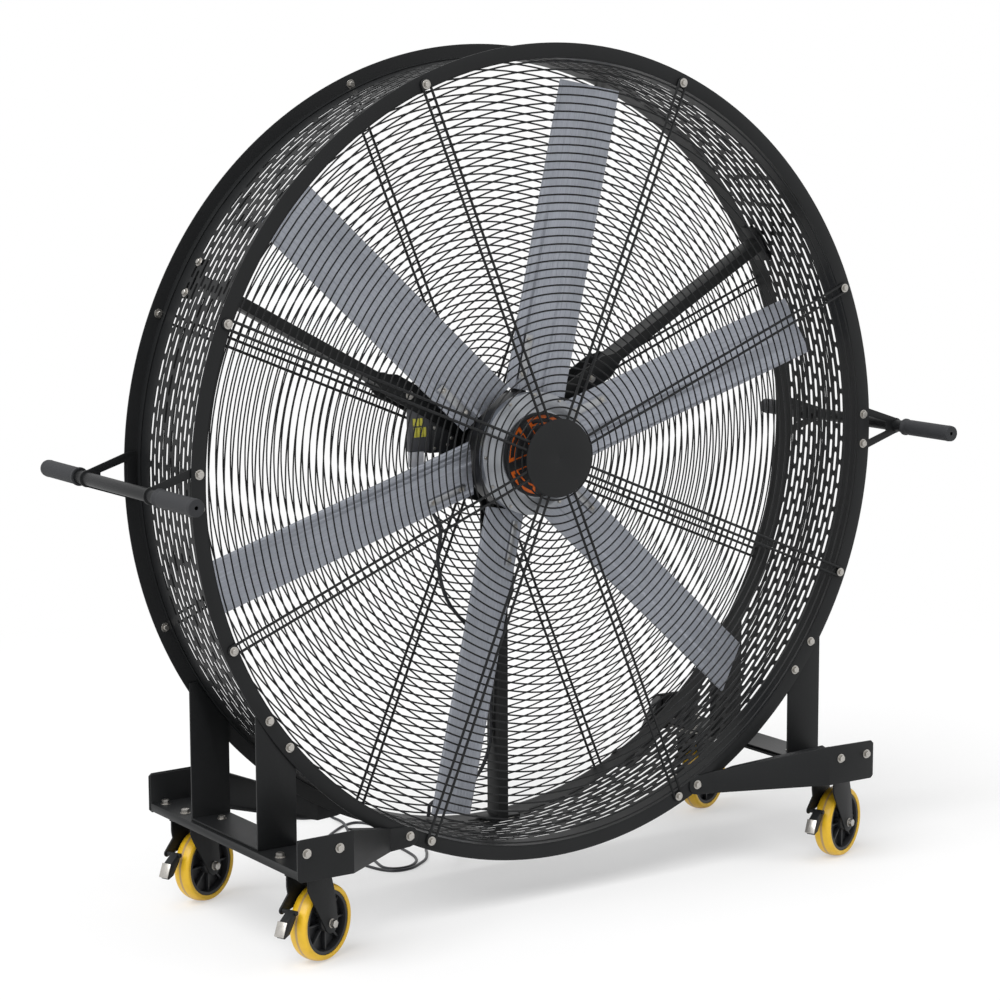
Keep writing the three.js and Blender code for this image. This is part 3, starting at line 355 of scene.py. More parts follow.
# --- Cord gland ------------------------------------------------------------------------------
# A moulded nylon gland under the drum's rear margin: a hexagon against the sheet, a domed
# ridged nut and a soft taper that takes the strain where the cord leaves.

# Moulded nylon: near black, with the even spark grain of its mould, about a millimetre wide.
nylon_black = even_skin("moulded_nylon_black", "#191a1c", "#222326", 900.0, 2.0,
                        {"Roughness": 0.5, "IOR": 1.53, "Specular IOR Level": 0.4}, relief=(0.25, 0.0003))

# Turned pieces are made along Y, and this stands them along Z.
stand_up = Matrix.Rotation(math.radians(90), 4, "X")
gland_seat = (Matrix.Translation((0, gland_y, axis_height)) @ Matrix.Rotation(gland_angle, 4, "Y")
              @ Matrix.Translation((0, 0, shell_outer * flat_share + seat_gap)) @ stand_up)
gland_hexagon = turned_mesh([(0, 0), (0.0130, 0), (0.0130, 0.0085), (0.0122, 0.0092), (0, 0.0092)], 6)
gland_nut = turned_mesh(
    [(0, 0.0090), (0.0108, 0.0090), (0.0108, 0.0170), (0.0098, 0.0195), (0, 0.0195)], 18)
gland_taper = turned_mesh(
    [(0, 0.0190), (0.0082, 0.0190), (0.0072, 0.0230), (0.0056, gland_length), (0, gland_length)], 24)
gland = as_object("gland_moulding", merged(gland_hexagon, gland_nut, gland_taper), nylon_black,
                  at=gland_seat)
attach(gland, "frame")
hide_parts("cord_gland")


# --- Slotted drum ----------------------------------------------------------------------------
# One band of sheet steel, punched with rows of staggered slots between two plain margins, rolled
# to a ring and powder coated black.
powder_coat, tree, shader = new_material(
    "polyester_powder_coat_black", {"Roughness": 0.45, "IOR": 1.5, "Specular IOR Level": 0.2})
# The leather grain of the coat is about a millimetre, drawn at three so that it shows, over slow
# changes of tone where it has been handled.
place = add_node(tree, "ShaderNodeTexCoord")
grain = add_node(tree, "ShaderNodeTexNoise",
                 {"Vector": place.outputs["Object"], "Scale": 330.0, "Detail": 2.0})
cloud = add_node(tree, "ShaderNodeTexNoise",
                 {"Vector": place.outputs["Object"], "Scale": 7.0, "Detail": 3.0})
both = add_node(tree, "ShaderNodeMath", {0: grain, 1: cloud}, operation="MULTIPLY")
tone = add_node(tree, "ShaderNodeMix", {0: both, 6: linear("#141516"), 7: linear("#242526")},
                data_type="RGBA")
tree.links.new(tone.outputs[2], shader.inputs["Base Color"])
relief = add_node(tree, "ShaderNodeBump", {"Height": grain, "Strength": 0.35, "Distance": 0.0006})
tree.links.new(relief.outputs[0], shader.inputs["Normal"])


def shape_tree(name, **inputs):
    """A Geometry Nodes tree with named inputs, and the sockets that give them inside it. An input is
    given as a number to start from or as the name of its kind."""
    kinds = {int: "NodeSocketInt", float: "NodeSocketFloat", "object": "NodeSocketObject",
             "material": "NodeSocketMaterial", "geometry": "NodeSocketGeometry"}
    made = bpy.data.node_groups.new(name, "GeometryNodeTree")
    for label, value in inputs.items():
        named = isinstance(value, str)
        socket = made.interface.new_socket(
            label, in_out="INPUT", socket_type=kinds[value if named else type(value)])
        if not named:
            socket.default_value = value
    made.interface.new_socket("geometry", in_out="OUTPUT", socket_type="NodeSocketGeometry")
    return made, add_node(made, "NodeGroupInput").outputs


def end_tree(made, given, geometry):
    """Ends a tree in Realize Instances and Set Material."""
    real = add_node(made, "GeometryNodeRealizeInstances", {"Geometry": geometry})
    finish = add_node(made, "GeometryNodeSetMaterial", {"Geometry": real, "Material": given["material"]})
    add_node(made, "NodeGroupOutput", {0: finish})


def grown(name, tree, seed_mesh=None, crease=0.6, **values):
    """The plain mesh that a tree makes with these values of its named inputs."""
    mesh = seed_mesh or bpy.data.meshes.new("seed")
    holder = bpy.data.objects.new("holder", mesh)
    bpy.context.scene.collection.objects.link(holder)
    modifier = holder.modifiers.new("shape", "NODES")
    modifier.node_group = tree
    for item in tree.interface.items_tree:
        if item.in_out == "INPUT" and item.name in values:
            modifier[item.identifier] = values[item.name]
    holder.update_tag()
    bpy.context.view_layer.update()
    evaluated = holder.evaluated_get(bpy.context.evaluated_depsgraph_get())
    finished = bpy.data.meshes.new_from_object(evaluated)
    finished.name = name
    holder.modifiers.clear()
    bpy.data.objects.remove(holder)
    finished.shade_smooth()
    finished.set_sharp_from_angle(angle=crease)
    piece = bpy.data.objects.new(name, finished)
    bpy.context.scene.collection.objects.link(piece)
    return piece


def extrusion(outline, holes, z0, z1, open_edge=False):
    """A flat outline with holes, drawn out along Z. An open edge has no wall, so that the piece joins
    its neighbours."""
    loops = [[Vector((x, y, 0)) for x, y in loop] for loop in (outline, *holes)]
    corners = [corner for loop in loops for corner in loop]
    made = bmesh.new()
    low = [made.verts.new((corner.x, corner.y, z0)) for corner in corners]
    high = [made.verts.new((corner.x, corner.y, z1)) for corner in corners]
    for a, b, c in tessellate_polygon(loops):
        made.faces.new((high[a], high[b], high[c]))
        made.faces.new((low[c], low[b], low[a]))
    first = 0
    for number, loop in enumerate(loops):
        ring = list(range(first, first + len(loop)))
        first += len(loop)
        if number == 0 and open_edge:
            continue
        for a, b in zip(ring, ring[1:] + ring[:1]):
            made.faces.new((low[a], low[b], high[b], high[a]))
    bmesh.ops.recalc_face_normals(made, faces=made.faces)
    return made


def pattern_piece(name, made):
    """A mesh held out of sight for a tree to repeat."""
    mesh = bpy.data.meshes.new(name)
    made.to_mesh(mesh)
    made.free()
    return bpy.data.objects.new(name, mesh)


# The band is laid flat from two cells, one with a slot and one of plain margin, before it is rolled.
slot_columns = 96
slot_rows = 11
slot_pitch = 0.022
slot_length = 0.056
slot_width = 0.0115
sheet_thickness = 0.0025
drum_inner = 1.045
drum_face = 0.185
column_width = 2 * math.pi * drum_inner / slot_columns
half_column = column_width / 2
slot_end = slot_length / 2 - slot_width / 2
slot_outline = [(side * (slot_end + slot_width / 2 * math.cos(a)), side * slot_width / 2 * math.sin(a))
                for side in (1, -1) for a in (math.radians(-90 + 45 * step) for step in range(5))]
cell_outline = [(x, y) for x, y in ((-half_column, -0.5), (0, -0.5), (half_column, -0.5),
                                    (half_column, 0.5), (0, 0.5), (-half_column, 0.5))]
slot_cell = pattern_piece("slot_cell", extrusion([(x, y * slot_pitch) for x, y in cell_outline],
                                                 [slot_outline], 0, sheet_thickness, open_edge=True))
margin_width = drum_face - slot_rows * slot_pitch / 2
margin_cell = extrusion([(x, (y + 0.5) * margin_width) for x, y in cell_outline], [], 0, sheet_thickness,
                        open_edge=True)
# The margin's outer edge is the rim of the sheet, so it gets its two faces back.
rim_edge = sorted((v for v in margin_cell.verts if v.co.y > margin_width - 1e-6),
                  key=lambda v: (v.co.x, v.co.z))
for step in (0, 2):
    margin_cell.faces.new((rim_edge[step], rim_edge[step + 1], rim_edge[step + 3], rim_edge[step + 2]))
bmesh.ops.recalc_face_normals(margin_cell, faces=margin_cell.faces)
margin_cell = pattern_piece("margin_cell", margin_cell)

band, given = shape_tree(
    "slotted_band", slot_cell="object", margin_cell="object", rows=slot_rows, columns=slot_columns,
    row_pitch=slot_pitch, radius=drum_inner, column_width=column_width, material="material")
index = add_node(band, "GeometryNodeInputIndex")
cells = add_node(band, "ShaderNodeMath", {0: given["rows"], 1: given["columns"]}, operation="MULTIPLY")
row = add_node(band, "ShaderNodeMath", {0: index, 1: given["columns"]}, operation="DIVIDE")
row = add_node(band, "ShaderNodeMath", {0: row}, operation="FLOOR")
column = add_node(band, "ShaderNodeMath", {0: index, 1: given["columns"]}, operation="MODULO")
odd = add_node(band, "ShaderNodeMath", {0: row, 1: 2.0}, operation="MODULO")
stagger = add_node(band, "ShaderNodeMath", {0: odd, 1: 0.5, 2: column}, operation="MULTIPLY_ADD")
across = add_node(band, "ShaderNodeMath", {0: stagger, 1: given["column_width"]}, operation="MULTIPLY")
last_row = add_node(band, "ShaderNodeMath", {0: given["rows"], 1: 1.0}, operation="SUBTRACT")
middle = add_node(band, "ShaderNodeMath", {0: last_row, 1: 0.5}, operation="MULTIPLY")
from_middle = add_node(band, "ShaderNodeMath", {0: row, 1: middle}, operation="SUBTRACT")
along = add_node(band, "ShaderNodeMath", {0: from_middle, 1: given["row_pitch"]}, operation="MULTIPLY")
where = add_node(band, "ShaderNodeCombineXYZ", {0: across, 1: along})
slots = add_node(band, "GeometryNodePoints", {"Count": cells, "Position": where})
slot_source = add_node(band, "GeometryNodeObjectInfo", {"Object": given["slot_cell"]})
slotted = add_node(band, "GeometryNodeInstanceOnPoints",
                   {"Points": slots, "Instance": slot_source.outputs["Geometry"]})
both_margins = add_node(band, "ShaderNodeMath", {0: given["columns"], 1: 2.0}, operation="MULTIPLY")
side = add_node(band, "ShaderNodeMath", {0: row, 1: 2.0, 2: -1.0}, operation="MULTIPLY_ADD")
half_band = add_node(band, "ShaderNodeMath", {0: given["rows"], 1: given["row_pitch"]},
                     operation="MULTIPLY")
half_band = add_node(band, "ShaderNodeMath", {0: half_band, 1: 0.5}, operation="MULTIPLY")
margin_y = add_node(band, "ShaderNodeMath", {0: side, 1: half_band}, operation="MULTIPLY")
margin_x = add_node(band, "ShaderNodeMath", {0: column, 1: given["column_width"]}, operation="MULTIPLY")
where = add_node(band, "ShaderNodeCombineXYZ", {0: margin_x, 1: margin_y})
margins = add_node(band, "GeometryNodePoints", {"Count": both_margins, "Position": where})
facing = add_node(band, "ShaderNodeMath", {0: row, 1: 1.0}, operation="SUBTRACT")
facing = add_node(band, "ShaderNodeMath", {0: facing, 1: math.pi}, operation="MULTIPLY")
facing = add_node(band, "ShaderNodeCombineXYZ", {2: facing})
facing = add_node(band, "FunctionNodeEulerToRotation", {0: facing})
margin_source = add_node(band, "GeometryNodeObjectInfo", {"Object": given["margin_cell"]})
plain = add_node(band, "GeometryNodeInstanceOnPoints",
                 {"Points": margins, "Instance": margin_source.outputs["Geometry"],
                  "Rotation": facing})
sheet = add_node(band, "GeometryNodeJoinGeometry", {0: slotted})
band.links.new(plain.outputs[0], sheet.inputs[0])
flat = add_node(band, "GeometryNodeRealizeInstances", {"Geometry": sheet})
spot = add_node(band, "GeometryNodeInputPosition")
spot = add_node(band, "ShaderNodeSeparateXYZ", {0: spot})
angle = add_node(band, "ShaderNodeMath", {0: spot, 1: given["radius"]}, operation="DIVIDE")
reach = add_node(band, "ShaderNodeMath", {0: spot.outputs[2], 1: given["radius"]}, operation="ADD")
sine = add_node(band, "ShaderNodeMath", {0: angle}, operation="SINE")
cosine = add_node(band, "ShaderNodeMath", {0: angle}, operation="COSINE")
rolled_x = add_node(band, "ShaderNodeMath", {0: reach, 1: sine}, operation="MULTIPLY")
rolled_z = add_node(band, "ShaderNodeMath", {0: reach, 1: cosine}, operation="MULTIPLY")
rolled = add_node(band, "ShaderNodeCombineXYZ", {0: rolled_x, 1: spot.outputs[1], 2: rolled_z})
rolled = add_node(band, "GeometryNodeSetPosition", {"Geometry": flat, "Position": rolled})
welded = add_node(band, "GeometryNodeMergeByDistance", {"Geometry": rolled, "Distance": 0.00002})
end_tree(band, given, welded)

drum = grown("drum_band", band, slot_cell=slot_cell, margin_cell=margin_cell, rows=slot_rows,
             columns=slot_columns, row_pitch=slot_pitch, radius=drum_inner, column_width=column_width,
             material=powder_coat)
to_axis = Matrix.Translation((0, 0, axis_height))
drum.data.transform(to_axis)
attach(drum, "frame")
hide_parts("drum_shell")


# --- Flange rings ----------------------------------------------------------------------------
# Rolled steel angle round each end of the drum: a broad flat face that takes the guard's bolts
# and a short lip welded round the sheet, coated with it.
flange_outer = 1.085
flange_inner = 1.0478
flange_back = drum_face - 0.004
lip_outer = flange_inner + 0.003
lip_end = drum_face - 0.022
for place_name, side in (("front", -1), ("rear", 1)):
    section = [(flange_inner, side * drum_face), (flange_outer, side * drum_face),
               (flange_outer, side * flange_back), (lip_outer, side * flange_back),
               (lip_outer, side * lip_end), (flange_inner, side * lip_end)]
    flange = turned_mesh(rounded_corners(section, 0.0009, 2), 240)
    flange = as_object(f"flange_ring_{place_name}", flange, powder_coat, 0.7, to_axis)
    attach(flange, "frame")
    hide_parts(f"{place_name}_flange")


# --- Wire guards -----------------------------------------------------------------------------
# Concentric rings of drawn steel wire, welded behind eight spokes that are each one wire bent
# round its bolt, with a plain round plate on the spokes' ends. The whole guard is powder coated.
ring_count = 44
ring_pitch = 0.0215
ring_outer = 1.0375
ring_depth = 0.1841
ring_wire = 0.0023
ring_steps = 144
rings_tree, given = shape_tree(
    "wire_rings", rings=ring_count, outer_radius=ring_outer, pitch=ring_pitch, wire_radius=ring_wire,
    depth=ring_depth, steps=ring_steps, material="material")
centre = add_node(rings_tree, "GeometryNodePoints", {"Count": given["rings"]})
circle = add_node(rings_tree, "GeometryNodeCurvePrimitiveCircle",
                  {"Resolution": given["steps"], "Radius": 1.0})
index = add_node(rings_tree, "GeometryNodeInputIndex")
inset = add_node(rings_tree, "ShaderNodeMath", {0: index, 1: given["pitch"]}, operation="MULTIPLY")
size = add_node(rings_tree, "ShaderNodeMath", {0: given["outer_radius"], 1: inset}, operation="SUBTRACT")
size = add_node(rings_tree, "ShaderNodeCombineXYZ", {0: size, 1: size, 2: size})
circles = add_node(rings_tree, "GeometryNodeInstanceOnPoints",
                   {"Points": centre, "Instance": circle, "Scale": size})
circles = add_node(rings_tree, "GeometryNodeRealizeInstances", {"Geometry": circles})
section = add_node(rings_tree, "GeometryNodeCurvePrimitiveCircle",
                   {"Resolution": 6, "Radius": given["wire_radius"]})
wires = add_node(rings_tree, "GeometryNodeCurveToMesh", {"Curve": circles, "Profile Curve": section})
stand_off = add_node(rings_tree, "ShaderNodeCombineXYZ", {1: given["depth"]})
upright = add_node(rings_tree, "GeometryNodeTransform",
                   {"Geometry": wires, "Translation": stand_off,
                    "Rotation": (math.pi / 2, 0, 0)})
end_tree(rings_tree, given, upright)

spoke_count = 8
first_spoke = math.radians(22.5)
around, given = shape_tree(
    "around_the_axis", piece="object", count=spoke_count, first_angle=first_spoke, material="material")
centre = add_node(around, "GeometryNodePoints", {"Count": given["count"]})
index = add_node(around, "GeometryNodeInputIndex")
step = add_node(around, "ShaderNodeMath", {0: 2 * math.pi, 1: given["count"]}, operation="DIVIDE")
turn_angle = add_node(around, "ShaderNodeMath", {0: index, 1: step, 2: given["first_angle"]},
                      operation="MULTIPLY_ADD")
turn_angle = add_node(around, "ShaderNodeCombineXYZ", {1: turn_angle})
turn_angle = add_node(around, "FunctionNodeEulerToRotation", {0: turn_angle})
source = add_node(around, "GeometryNodeObjectInfo", {"Object": given["piece"]})
repeated = add_node(around, "GeometryNodeInstanceOnPoints",
                    {"Points": centre, "Instance": source.outputs["Geometry"],
                     "Rotation": turn_angle})
end_tree(around, given, repeated)


def wire_mesh(path, radius, sides=8):
    """A round wire with flat ends, along points that lie in one plane square to Y."""
    made = bmesh.new()
    rings = []
    for index, point in enumerate(path):
        heading = (path[min(index + 1, len(path) - 1)] - path[max(index - 1, 0)]).normalized()
        outward = heading.cross(Vector((0, 1, 0)))
        ring = []
        for a in (2 * math.pi * corner / sides for corner in range(sides)):
            across = math.cos(a) * outward + Vector((0, math.sin(a), 0))
            ring.append(made.verts.new(point + radius * across))
        rings.append(ring)
    for ring, following in zip(rings, rings[1:]):
        for corner in range(sides):
            after = (corner + 1) % sides
            made.faces.new((ring[corner], ring[after], following[after], following[corner]))
    made.faces.new(rings[0])
    made.faces.new(rings[-1])
    bmesh.ops.recalc_face_normals(made, faces=made.faces)
    return made


spoke_wire = 0.0037
spoke_half = 0.0115
spoke_inner = 0.062
spoke_depth = 0.1889
spoke_face = spoke_depth + spoke_wire - 0.0006
guard_bolt_radius = 1.060
spoke_path = [Vector((spoke_half, 0, spoke_inner)), Vector((spoke_half, 0, guard_bolt_radius))]
spoke_path += [Vector((spoke_half * math.cos(a), 0, guard_bolt_radius + spoke_half * math.sin(a)))
               for a in (math.radians(15 * step) for step in range(1, 12))]
spoke_path += [Vector((-spoke_half, 0, guard_bolt_radius)), Vector((-spoke_half, 0, spoke_inner))]
spoke_pattern = pattern_piece("spoke", wire_mesh(spoke_path, spoke_wire))

plate_radius = 0.105
plate_face = 0.1945
for place_name, side in (("front", -1), ("rear", 1)):
    rings = grown(f"guard_rings_{place_name}", rings_tree, rings=ring_count, outer_radius=ring_outer,
                  pitch=ring_pitch, wire_radius=ring_wire, depth=side * ring_depth, steps=ring_steps,
                  material=powder_coat)
    spokes = grown(f"guard_spokes_{place_name}", around, piece=spoke_pattern, count=spoke_count,
                   first_angle=first_spoke, material=powder_coat)
    spokes.data.transform(Matrix.Translation((0, side * spoke_depth, 0)))
    section = [(0.0001, side * spoke_face), (plate_radius, side * spoke_face),
               (plate_radius, side * plate_face), (0.0001, side * plate_face)]
    plate = turned_mesh(rounded_corners(section, 0.0008, 2), 96)
    plate = as_object(f"guard_plate_{place_name}", plate, powder_coat, 0.7)
    for piece in (rings, spokes, plate):
        piece.data.transform(to_axis)
        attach(piece, "frame")
    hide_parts(f"{place_name}_guard")


# --- Blades ----------------------------------------------------------------------------------
# Six straight lengths of extruded aluminium, hollow, with fine raised lines along the front face.
# They are cut square at root and tip and left in their satin mill finish.
blade_count = 6
blade_chord = 0.168
blade_thickness = 0.009
blade_root = 0.162
blade_tip = 1.000
blade_plane = -0.008
blade_offset = 0.014
blade_pitch = math.radians(-19.1)
first_blade = math.radians(12.4)

# Extruded aluminium: the die draws streaks along the whole length, wider ones of a few
# millimetres and hair lines between them, which break the light into soft bands.
extruded_aluminium, tree, shader = new_material(
    "extruded_aluminium_satin", {"Metallic": 0.55, "Roughness": 0.42})
run = add_node(tree, "ShaderNodeAttribute", attribute_name="blade_run")
stretched = add_node(tree, "ShaderNodeMapping",
                     {"Vector": run.outputs["Vector"], "Scale": (1.0, 1.0, 0.02)})
streak = add_node(tree, "ShaderNodeTexNoise", {"Vector": stretched, "Scale": 260.0, "Detail": 4.0})
patch = add_node(tree, "ShaderNodeTexNoise",
                 {"Vector": run.outputs["Vector"], "Scale": 9.0, "Detail": 3.0})
marks = add_node(tree, "ShaderNodeMath", {0: streak, 1: patch}, operation="ADD")
marks = add_node(tree, "ShaderNodeMapRange",
                 {"Value": marks, "From Min": 0.6, "From Max": 1.4, "To Min": 0.0, "To Max": 1.0})
tone = add_node(tree, "ShaderNodeMix", {0: marks, 6: linear("#9a9ea7"), 7: linear("#b8bcc6")},
                data_type="RGBA")
tree.links.new(tone.outputs[2], shader.inputs["Base Color"])
relief = add_node(tree, "ShaderNodeBump", {"Height": streak, "Strength": 0.25, "Distance": 0.0004})
tree.links.new(relief.outputs[0], shader.inputs["Normal"])

half_chord = blade_chord / 2
skin = blade_thickness / 2
front_edge = []
lines = 11
line_margin = 0.010
line_foot = 0.0014
line_top = 0.0006
line_height = 0.0009
for line in range(lines):
    x = -half_chord + line_margin + line * (blade_chord - 2 * line_margin) / (lines - 1)
    front_edge += [(x - line_foot, -skin), (x - line_top, -skin - line_height),
                   (x + line_top, -skin - line_height), (x + line_foot, -skin)]
# The rear edge has the corners of the same lines but lies flat.
rear_edge = [(-x, min(-y, skin)) for x, y in front_edge]
nose = 0.0018
taper = 0.0022
blade_outline = [
    (-half_chord, -nose), (-half_chord + taper, -skin), *front_edge, (half_chord - taper, -skin),
    (half_chord, -nose), (half_chord, nose), (half_chord - taper, skin), *rear_edge,
    (-half_chord + taper, skin), (-half_chord, nose)]
cell_pitch = (blade_chord - blade_thickness) / 3
cell_half = 0.0025
half_web = 0.001
blade_cells = []
for cell in (-1, 0, 1):
    left = cell * cell_pitch - cell_pitch / 2 + half_web
    right = cell * cell_pitch + cell_pitch / 2 - half_web
    blade_cells.append([(left, -cell_half), (left, cell_half), (right, cell_half), (right, -cell_half)])

blade_set = Matrix.Translation((blade_offset, blade_plane, 0)) @ Matrix.Rotation(blade_pitch, 4, "Z")
blade_pattern = pattern_piece("blade_length",
                              extrusion(blade_outline, blade_cells, blade_root, blade_tip))
run_values = blade_pattern.data.attributes.new("blade_run", "FLOAT_VECTOR", "POINT")
for vertex, value in zip(blade_pattern.data.vertices, run_values.data):
    value.vector = vertex.co
blade_pattern.data.transform(blade_set)
blades = grown("blades", around, piece=blade_pattern, count=blade_count, first_angle=first_blade,
               crease=0.35, material=extruded_aluminium)
blades.data.transform(to_axis)
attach(blades, "rotor")
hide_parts(*(f"blade_{number}" for number in range(1, 7)))


# --- Blade clips -----------------------------------------------------------------------------
# A bar of the same aluminium lies along each root and clamps the blade to the rotor's tongue
# with two bolts through both.

# Sawn bar in its mill finish: light grey that clouds softly over a centimetre or two.
bare_aluminium = even_skin("bare_aluminium_bar", "#9b9c9e", "#bcbec1", 60.0, 4.0,
                           {"Metallic": 1.0, "Roughness": 0.34})

clip_offset = -0.044
clip_half = 0.0105
clip_inner = 0.190
clip_outer = 0.312
clip_front = -skin - 0.006


def bevelled(made, width, steps=2, angle=0.5):
    """Breaks the sharp edges of a mesh."""
    edges = [e for e in made.edges if len(e.link_faces) == 2 and e.calc_face_angle(0) > angle]
    bmesh.ops.bevel(made, geom=edges, offset=width, segments=steps, affect="EDGES", profile=0.5,
                    clamp_overlap=True)
    return made


def block(low, high, bevel=0.0006):
    """A box between two corners with its edges broken."""
    made = bmesh.new()
    bmesh.ops.create_cube(made, size=1)
    for vertex in made.verts:
        vertex.co = Vector(((a + b) / 2 + v * (b - a) for a, b, v in zip(low, high, vertex.co)))
    return bevelled(made, bevel)


clip = block((clip_offset - clip_half, clip_front, clip_inner),
             (clip_offset + clip_half, -skin - line_height, clip_outer), 0.0012)
clip.transform(blade_set)
clips = grown("blade_clips", around, piece=pattern_piece("clip", clip), count=blade_count,
              first_angle=first_blade, material=bare_aluminium)
clips.data.transform(to_axis)
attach(clips, "rotor")


# --- Bolts -----------------------------------------------------------------------------------
# Zinc-plated hexagon bolts with a broad washer under each head. One pattern of bolt is set on
# every point of a list, square to the surface that the point lies on.
zinc_plate, tree, shader = new_material("zinc_plated_steel", {"Metallic": 1.0, "Roughness": 0.32})
# Bright zinc: a faint crystal mottle and duller patches where it has oxidised.
place = add_node(tree, "ShaderNodeTexCoord")
mottle = add_node(tree, "ShaderNodeTexVoronoi", {"Vector": place.outputs["Object"], "Scale": 420.0})
cloud = add_node(tree, "ShaderNodeTexNoise",
                 {"Vector": place.outputs["Object"], "Scale": 90.0, "Detail": 3.0})
mixed = add_node(tree, "ShaderNodeMath", {0: mottle.outputs["Distance"], 1: cloud}, operation="ADD")
tone = add_node(tree, "ShaderNodeMix", {0: mixed, 6: linear("#77746f"), 7: linear("#b3b0ab")},
                data_type="RGBA", clamp_factor=True)
tree.links.new(tone.outputs[2], shader.inputs["Base Color"])
dull = add_node(tree, "ShaderNodeMapRange", {"Value": cloud, "To Min": 0.22, "To Max": 0.46})
tree.links.new(dull.outputs[0], shader.inputs["Roughness"])


def hexagon_bolt(across, head, washer):
    """A chamfered hexagon head on a washer, standing on the plane z = 0 and facing +Z."""
    seat = 0.0016
    disc = turned_mesh([(0, 0), (washer - 0.0003, 0), (washer, 0.0003), (washer, 0.0013),
                        (washer - 0.0004, seat), (0, seat)], 28)
    corner = across / 2 / math.cos(math.radians(30))
    cap = turned_mesh([(0, seat), (corner, seat), (corner, head), (corner * 0.84, head + 0.0009),
                       (0, head + 0.0009)], 6)
    bolt = merged(disc, cap)
    bolt.transform(stand_up)
    return bolt


fastened, given = shape_tree("set_on_points", points="geometry", bolt="object", material="material")
square = add_node(fastened, "GeometryNodeInputNamedAttribute", {"Name": "facing"},
                  data_type="FLOAT_VECTOR")
turned_to = add_node(fastened, "FunctionNodeAlignRotationToVector", {"Vector": square}, axis="Z")
source = add_node(fastened, "GeometryNodeObjectInfo", {"Object": given["bolt"]})
bolts = add_node(fastened, "GeometryNodeInstanceOnPoints",
                 {"Points": given["points"], "Instance": source.outputs["Geometry"],
                  "Rotation": turned_to})
end_tree(fastened, given, bolts)


def set_bolts(name, body, pattern, places):
    """Bolts on a list of (point, facing) pairs, as one mesh that rides on a body."""
    seed = bpy.data.meshes.new("seed")
    seed.from_pydata([tuple(point) for point, facing in places], [], [])
    facings = seed.attributes.new("facing", "FLOAT_VECTOR", "POINT")
    for value, (point, facing) in zip(facings.data, places):
        value.vector = facing
    piece = grown(name, fastened, seed_mesh=seed, bolt=pattern, material=zinc_plate)
    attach(piece, body)


def on_drum(angle, radius, y):
    """A point at a clock angle seen from the front, a radius from the axis and a depth."""
    return Vector((radius * math.sin(angle), y, axis_height + radius * math.cos(angle)))


bolt_m8 = pattern_piece("bolt_m8", hexagon_bolt(across=0.013, head=0.0070, washer=0.0120))
bolt_m10 = pattern_piece("bolt_m10", hexagon_bolt(across=0.016, head=0.0080, washer=0.0125))
bolt_m6 = pattern_piece("bolt_m6", hexagon_bolt(across=0.010, head=0.0052, washer=0.0075))
bolt_m12 = pattern_piece("bolt_m12", hexagon_bolt(across=0.0185, head=0.0115, washer=0.0140))

clip_bolts = []
for number in range(blade_count):
    blade_place = Matrix.Rotation(first_blade + number * 2 * math.pi / blade_count, 4, "Y") @ blade_set
    out = blade_place.to_3x3() @ Vector((0, -1, 0))
    for radius in (clip_inner + 0.015, clip_outer - 0.015):
        seat = blade_place @ Vector((clip_offset, clip_front, radius))
        clip_bolts.append((seat + Vector((0, 0, axis_height)), out))
set_bolts("clip_bolts", "rotor", bolt_m6, clip_bolts)

front_bolts = []
rear_bolts = []
for number in range(spoke_count):
    angle = first_spoke + number * 2 * math.pi / spoke_count
    front_bolts.append((on_drum(angle, guard_bolt_radius, -spoke_face), (0, -1, 0)))
    rear_bolts.append((on_drum(angle, guard_bolt_radius, spoke_face), (0, 1, 0)))
    rear_bolts.append((on_drum(angle, guard_bolt_radius, flange_back), (0, -1, 0)))
set_bolts("guard_bolts_front", "frame", bolt_m8, front_bolts)
set_bolts("guard_bolts_rear", "frame", bolt_m8, rear_bolts)

# One corner of the frame, mirrored to the other three: two bolts of the arm and two of the handle on
# the flange, two of the arm on the base plate's upturned end, one of the stand's leg on the flange,
# and one that stands on the stand's foot.
corner_bolts = ((0.8784, drum_face, 0.6031), (0.8218, drum_face, 0.5274),
                (1.062, drum_face, axis_height - 0.042), (1.062, drum_face, axis_height + 0.042),
                (0.8085, 0.4053, 0.3160), (0.9020, 0.4053, 0.3160), (0.471, 0.1903, 0.244))
foot_bolt = Vector((0.852, 0.131, 0.2773))
caster_bolt_x = 0.8486
caster_y = 0.313
plate_top = 0.271
frame_bolts = []
caster_bolts = []
for side in (-1, 1):
    for end in (-1, 1):
        frame_bolts += [(Vector((side * x, end * y, z)), (0, end, 0)) for x, y, z in corner_bolts]
        frame_bolts.append((foot_bolt * Vector((side, end, 1)), (0, 0, 1)))
        caster_bolts += [(Vector((side * caster_bolt_x + x, end * caster_y + y, plate_top)), (0, 0, 1))
                         for x in (-0.0455, 0.0455) for y in (-0.057, 0.057)]
set_bolts("frame_bolts", "frame", bolt_m10, frame_bolts)
set_bolts("caster_bolts", "frame", bolt_m12, caster_bolts)


# --- Rotor -----------------------------------------------------------------------------------
# The blades' carrier is the outer half of the motor: a black painted cast drum with a tongue
# behind each root, a polished aluminium dish in front, and a plastic cap with an orange face.

# Brushed enamel over a sand casting: a soft orange-peel of two or three millimetres.
cast_paint = even_skin("painted_casting_black", "#1d1e20", "#2a2b2e", 420.0, 2.0,
                       {"Roughness": 0.45, "IOR": 1.5, "Specular IOR Level": 0.4}, relief=(0.3, 0.0006))

